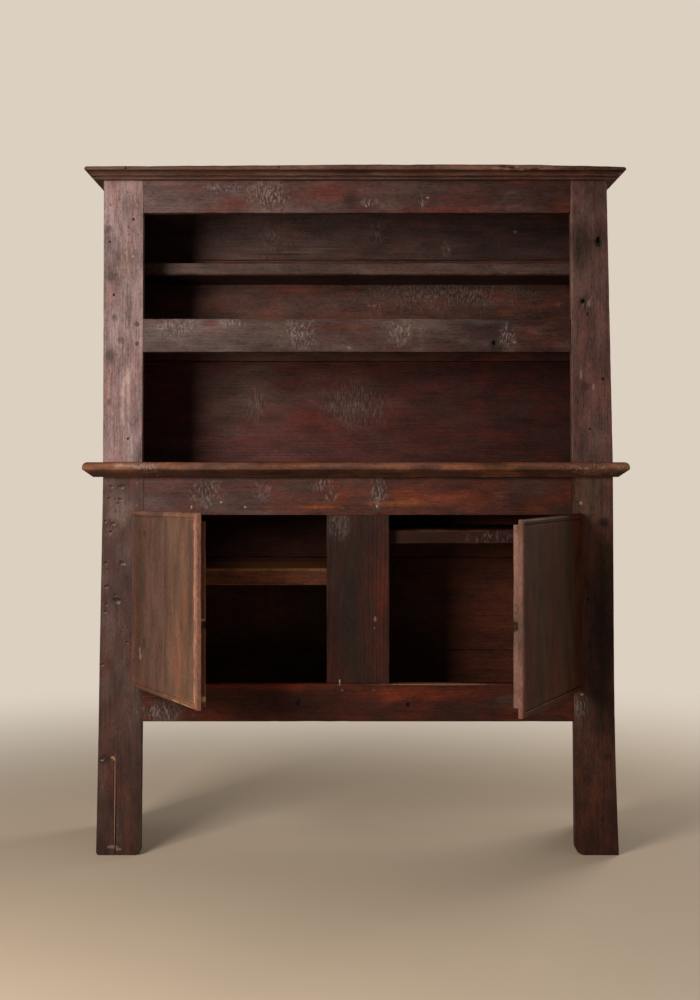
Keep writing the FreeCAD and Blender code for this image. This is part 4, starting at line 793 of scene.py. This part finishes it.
def painted_floor(name):
    """Plain matt floor that fades into the background away from the cupboard."""
    stage = bpy.context.scene.cupboard_stage
    material, add = new_material(name)
    place = add("TexCoord").outputs["Object"]
    mottle = clouds(add, place, 3, 4)
    colour = add("Mix", {0: mottle, 6: shaded(stage.floor, 0.96), 7: shaded(stage.floor, 1.04)},
            data_type="RGBA")
    shader = add("BsdfPrincipled", {"Base Color": colour, "Roughness": 0.8})
    reach = add("VectorMath", {0: place}, operation="LENGTH")
    far = add("MapRange", {"Value": reach.outputs["Value"], 1: 0.9, 2: 3.4},
            interpolation_type="SMOOTHSTEP")
    glow = add("Emission", {"Color": tuple(stage.background)})
    seen = add("LightPath")
    share = reckon(add, "MULTIPLY", far, seen.outputs["Is Camera Ray"])
    mixed = add("MixShader", {0: share, 1: shader, 2: glow})
    add("OutputMaterial", {"Surface": mixed})
    return material


def board_mesh(node):
    """Returns a CAD board's shape as flat faces, ready to be aged."""
    mesh = bmesh.new()
    mesh.from_mesh(frame["nodes"][node].data)
    bmesh.ops.remove_doubles(mesh, verts=mesh.verts, dist=WELD_DISTANCE)
    bmesh.ops.dissolve_limit(mesh, angle_limit=FLAT_ANGLE, verts=mesh.verts, edges=mesh.edges)
    return mesh


def is_long_arris(edge):
    """Says whether an edge is one of a board's long outer corners."""
    if not edge.is_manifold or not edge.is_convex or edge.calc_length() < SHORTEST_ARRIS:
        return False
    return edge.calc_face_angle() > ARRIS_ANGLE


def slice_along(mesh, axis, spacing):
    """Cuts a mesh across its length at even steps, so that its edges can bend."""
    low = min(vertex.co[axis] for vertex in mesh.verts)
    high = max(vertex.co[axis] for vertex in mesh.verts)
    count = max(int((high - low) / spacing), 1)
    normal = Vector((axis == 0, axis == 1, axis == 2))
    for step in range(1, count):
        place = normal * (low + (high - low) * step / count)
        everything = mesh.verts[:] + mesh.edges[:] + mesh.faces[:]
        bmesh.ops.bisect_plane(mesh, geom=everything, dist=CUT_DISTANCE, plane_co=place, plane_no=normal)


def longest_axis(mesh):
    """Returns the axis that a mesh is longest on."""
    spans = []
    for axis in range(3):
        places = [vertex.co[axis] for vertex in mesh.verts]
        spans.append(max(places) - min(places))
    return spans.index(max(spans))


def wear_arrises(mesh, wear, seed):
    """Rounds a board's long corners, cuts them into steps and nicks them."""
    worn = mesh.faces.layers.int.new("worn")
    arris = mesh.loops.layers.float.new("arris")
    edges = [edge for edge in mesh.edges if is_long_arris(edge)]
    made = bmesh.ops.bevel(mesh, geom=edges, offset=wear.arris, segments=2, profile=0.5, affect="EDGES",
            clamp_overlap=True, material=-1)
    for face in made["faces"]:
        face[worn] = 1
    slice_along(mesh, longest_axis(mesh), wear.spacing)
    mesh.normal_update()
    moves = []
    for vertex in mesh.verts:
        marks = [face[worn] for face in vertex.link_faces]
        if not any(marks):
            continue
        level = noise.noise(vertex.co * LONG_NICKS + seed)
        level += 0.5 * noise.noise(vertex.co * SHORT_NICKS + seed)
        depth = wear.nick * max(level - NICK_LEVEL, 0.0)
        moves.append((vertex, vertex.normal * depth * (1.0 if all(marks) else BESIDE_EDGE)))
    for vertex, move in moves:
        vertex.co -= move
    for face in mesh.faces:
        for loop in face.loops:
            loop[arris] = float(face[worn])


def finish_piece(mesh, node, name, body, material):
    """Makes an object of an aged mesh, in place of its CAD node."""
    data = bpy.data.meshes.new(name)
    mesh.to_mesh(data)
    mesh.free()
    data.materials.clear()
    data.materials.append(material)
    data.shade_smooth()
    data.set_sharp_from_angle(angle=SHARP_ANGLE)
    piece = bpy.data.objects.new(name, data)
    bpy.context.scene.collection.objects.link(piece)
    smooth = piece.modifiers.new("even shading", "WEIGHTED_NORMAL")
    smooth.keep_sharp = True
    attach(piece, body)
    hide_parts(node)
    return piece


def hinge_of(body):
    """Returns the joint that a body swings on, or None for the carcass."""
    return next((joint for joint in frame["joints"] if joint["child"] == body), None)


def age_board(node, look, body, seed, reshape=None):
    """Makes an aged piece of a board, and lets reshape move its points."""
    mesh = board_mesh(node)
    wear_arrises(mesh, bpy.context.scene.cupboard_wear, seed)
    if reshape:
        for vertex in mesh.verts:
            reshape(vertex)
    material = stained_pine("stained pine, " + node, look, *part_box(node), hinge_of(body))
    finish_piece(mesh, node, "aged_" + node, body, material)


def age_boards(boards, body):
    """Makes an aged piece for each board of a list."""
    for node, look in boards.items():
        letters = sum(ord(letter) for letter in node)
        age_board(node, look, body, Vector((len(node), node.count("_") * 3.7, letters * 0.13)))


def lower_fillet(vertex):
    """Lets a point of the crown's top fillet down, further the further it stands out."""
    crown_low, crown_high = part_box("crown_front")
    top_low, top_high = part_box("top_board")
    out = max(top_low.y - vertex.co.y, top_low.x - vertex.co.x, vertex.co.x - top_high.x, 0.0)
    up = (vertex.co.z - crown_low.z) / (crown_high.z - crown_low.z)
    if up < WEAR_START:
        return
    drop = step_between(CROWN_DROPS, (vertex.co.x - MIDDLE_X) * 1000) / 1000
    ripple = RIPPLE_DEPTH * noise.noise(Vector((vertex.co.x * RIPPLES, vertex.co.y * RIPPLES, 0)))
    rise = min((up - WEAR_START) / (WEAR_FULL - WEAR_START), 1.0)
    share = min(out / (top_low.y - crown_low.y), 1.0) * rise
    vertex.co.z -= (drop + ripple + LEAST_DROP) * share


def step_between(points, place):
    """Returns the value at a place on a line through (place, value) points."""
    for (left, low), (right, high) in zip(points, points[1:]):
        if place <= right:
            share = min(max((place - left) / (right - left), 0.0), 1.0)
            return low + (high - low) * share
    return points[-1][1]


class CUPBOARD_OT_age_frame(bpy.types.Operator):
    """Age the legs, stiles, rails and the post between the doors"""

    bl_idname = "cupboard.age_frame"
    bl_label = "Age the face frame"

    def execute(self, context):
        age_boards(FRAME_BOARDS, "carcass")
        return {"FINISHED"}


class CUPBOARD_OT_age_panels(bpy.types.Operator):
    """Age the sides, shelves, back boards and top board"""

    bl_idname = "cupboard.age_panels"
    bl_label = "Age the panels and shelves"

    def execute(self, context):
        age_boards(PANEL_BOARDS, "carcass")
        return {"FINISHED"}


class CUPBOARD_OT_wear_crown(bpy.types.Operator):
    """Wear the top edge of the crown moulding down in waves"""

    bl_idname = "cupboard.wear_crown"
    bl_label = "Wear the crown moulding"

    def execute(self, context):
        for node, look in CROWN_BOARDS.items():
            age_board(node, look, "carcass", Vector((len(node), 5.1, 7.7)), lower_fillet)
        return {"FINISHED"}


class CUPBOARD_OT_wear_counter(bpy.types.Operator):
    """Wear the nose and the ends of the counter board"""

    bl_idname = "cupboard.wear_counter"
    bl_label = "Wear the counter board"

    def execute(self, context):
        age_boards(COUNTER_BOARDS, "carcass")
        return {"FINISHED"}


class CUPBOARD_OT_age_doors(bpy.types.Operator):
    """Age the boards of both doors, which move with their own bodies"""

    bl_idname = "cupboard.age_doors"
    bl_label = "Age the doors"

    def execute(self, context):
        age_boards(LEFT_DOOR_BOARDS, "left_door")
        age_boards(RIGHT_DOOR_BOARDS, "right_door")
        return {"FINISHED"}


class CUPBOARD_OT_finish_fixings(bpy.types.Operator):
    """Give the battens, cleats, pegs, nails and hinges their finish"""

    bl_idname = "cupboard.finish_fixings"
    bl_label = "Finish the fixings"

    def execute(self, context):
        base_oak = whittled_oak("whittled oak, base", "#4A332C", "#2A1A14", DARK_BASE_PEGS)
        rack_oak = whittled_oak("whittled oak, rack", "#7D6159", "#45302A", DARK_RACK_PEGS)
        for nodes, material in ((ROUGH_PINE_NODES, rough_pine("sawn pine")), (BASE_PEG_NODES, base_oak),
                (RACK_PEG_NODES, rack_oak), (IRON_NODES, wrought_iron("wrought iron"))):
            for node in nodes:
                for slot in frame["nodes"][node].material_slots:
                    slot.material = material
        return {"FINISHED"}


class CUPBOARD_OT_set_stage(bpy.types.Operator):
    """Set the floor, the background, the lamps and the camera"""

    bl_idname = "cupboard.set_stage"
    bl_label = "Set the stage"

    def execute(self, context):
        stage = context.scene.cupboard_stage
        mesh = bmesh.new()
        bmesh.ops.create_circle(mesh, cap_ends=True, segments=96, radius=FLOOR_RADIUS)
        data = bpy.data.meshes.new("floor")
        mesh.to_mesh(data)
        mesh.free()
        data.materials.append(painted_floor("matt floor paint"))
        floor = bpy.data.objects.new("floor", data)
        context.scene.collection.objects.link(floor)

        world = bpy.data.worlds.new("studio")
        context.scene.world = world
        world.use_nodes = True
        world.node_tree.nodes.clear()
        add = partial(add_node, world.node_tree)
        even = add("Background", {"Color": linear("#FFF6EC"), "Strength": stage.sky})
        seen = add("Background", {"Color": tuple(stage.background), "Strength": 1.0})
        path = add("LightPath")
        mixed = add("MixShader", {0: path.outputs["Is Camera Ray"], 1: even, 2: seen})
        add("OutputWorld", {"Surface": mixed})

        window = ("window lamp", stage.window_power, (-1.67, -2.7, 1.5), 1.1, 1.3)
        fill = ("fill lamp", stage.fill_power, (2.3, 2.6, 2.1), 1.6, 1.6)
        for name, power, place, width, height in (window, fill):
            lamp = bpy.data.lights.new(name, "AREA")
            lamp.shape = "RECTANGLE"
            lamp.size = width
            lamp.size_y = height
            lamp.energy = power
            lamp.color = linear("#FFF4E6")[:3]
            holder = bpy.data.objects.new(name, lamp)
            holder.location = place
            aim = Vector((0, 0, 0.9)) - Vector(place)
            holder.rotation_euler = aim.to_track_quat("-Z", "Y").to_euler()
            context.scene.collection.objects.link(holder)

        # The camera stands in front of the face frame, a little left of its middle
        camera = bpy.data.cameras.new("camera")
        camera.lens = stage.lens
        camera.sensor_width = 36.0
        camera.shift_y = -0.035
        holder = bpy.data.objects.new("camera", camera)
        holder.location = (MIDDLE_X - 0.020, FRONT_Y - CAMERA_DISTANCE, EYE_HEIGHT)
        holder.rotation_euler = (math.radians(90), 0, 0)
        context.scene.collection.objects.link(holder)
        context.scene.camera = holder
        context.scene.view_settings.view_transform = "Standard"
        return {"FINISHED"}


OPERATORS = (CUPBOARD_OT_set_stage, CUPBOARD_OT_age_frame, CUPBOARD_OT_age_panels, CUPBOARD_OT_wear_crown,
        CUPBOARD_OT_wear_counter, CUPBOARD_OT_age_doors, CUPBOARD_OT_finish_fixings)


class CUPBOARD_PT_panel(bpy.types.Panel):
    """Sizes, colours and steps of the cupboard's finish"""

    bl_idname = "CUPBOARD_PT_panel"
    bl_label = "Court cupboard"
    bl_space_type = "VIEW_3D"
    bl_region_type = "UI"
    bl_category = "Cupboard"

    def draw(self, context):
        layout = self.layout
        for group in (context.scene.cupboard_wear, context.scene.cupboard_finish,
                context.scene.cupboard_stage):
            for key in group.__annotations__:
                layout.prop(group, key)
        for operator in OPERATORS:
            layout.operator(operator.bl_idname)


CLASSES = (CupboardWear, CupboardFinish, CupboardStage, *OPERATORS, CUPBOARD_PT_panel)


def register():
    """Registers the classes and hangs the settings on the scene."""
    for cls in CLASSES:
        bpy.utils.register_class(cls)
    bpy.types.Scene.cupboard_wear = PointerProperty(type=CupboardWear)
    bpy.types.Scene.cupboard_finish = PointerProperty(type=CupboardFinish)
    bpy.types.Scene.cupboard_stage = PointerProperty(type=CupboardStage)


def unregister():
    """Takes the settings and the classes away again."""
    del bpy.types.Scene.cupboard_stage
    del bpy.types.Scene.cupboard_finish
    del bpy.types.Scene.cupboard_wear
    for cls in reversed(CLASSES):
        bpy.utils.unregister_class(cls)


def main():
    register()
    bpy.ops.cupboard.set_stage()
    bpy.ops.cupboard.age_frame()
    bpy.ops.cupboard.age_panels()
    bpy.ops.cupboard.wear_crown()
    bpy.ops.cupboard.wear_counter()
    bpy.ops.cupboard.age_doors()
    bpy.ops.cupboard.finish_fixings()


if __name__ == "__main__":
    main()
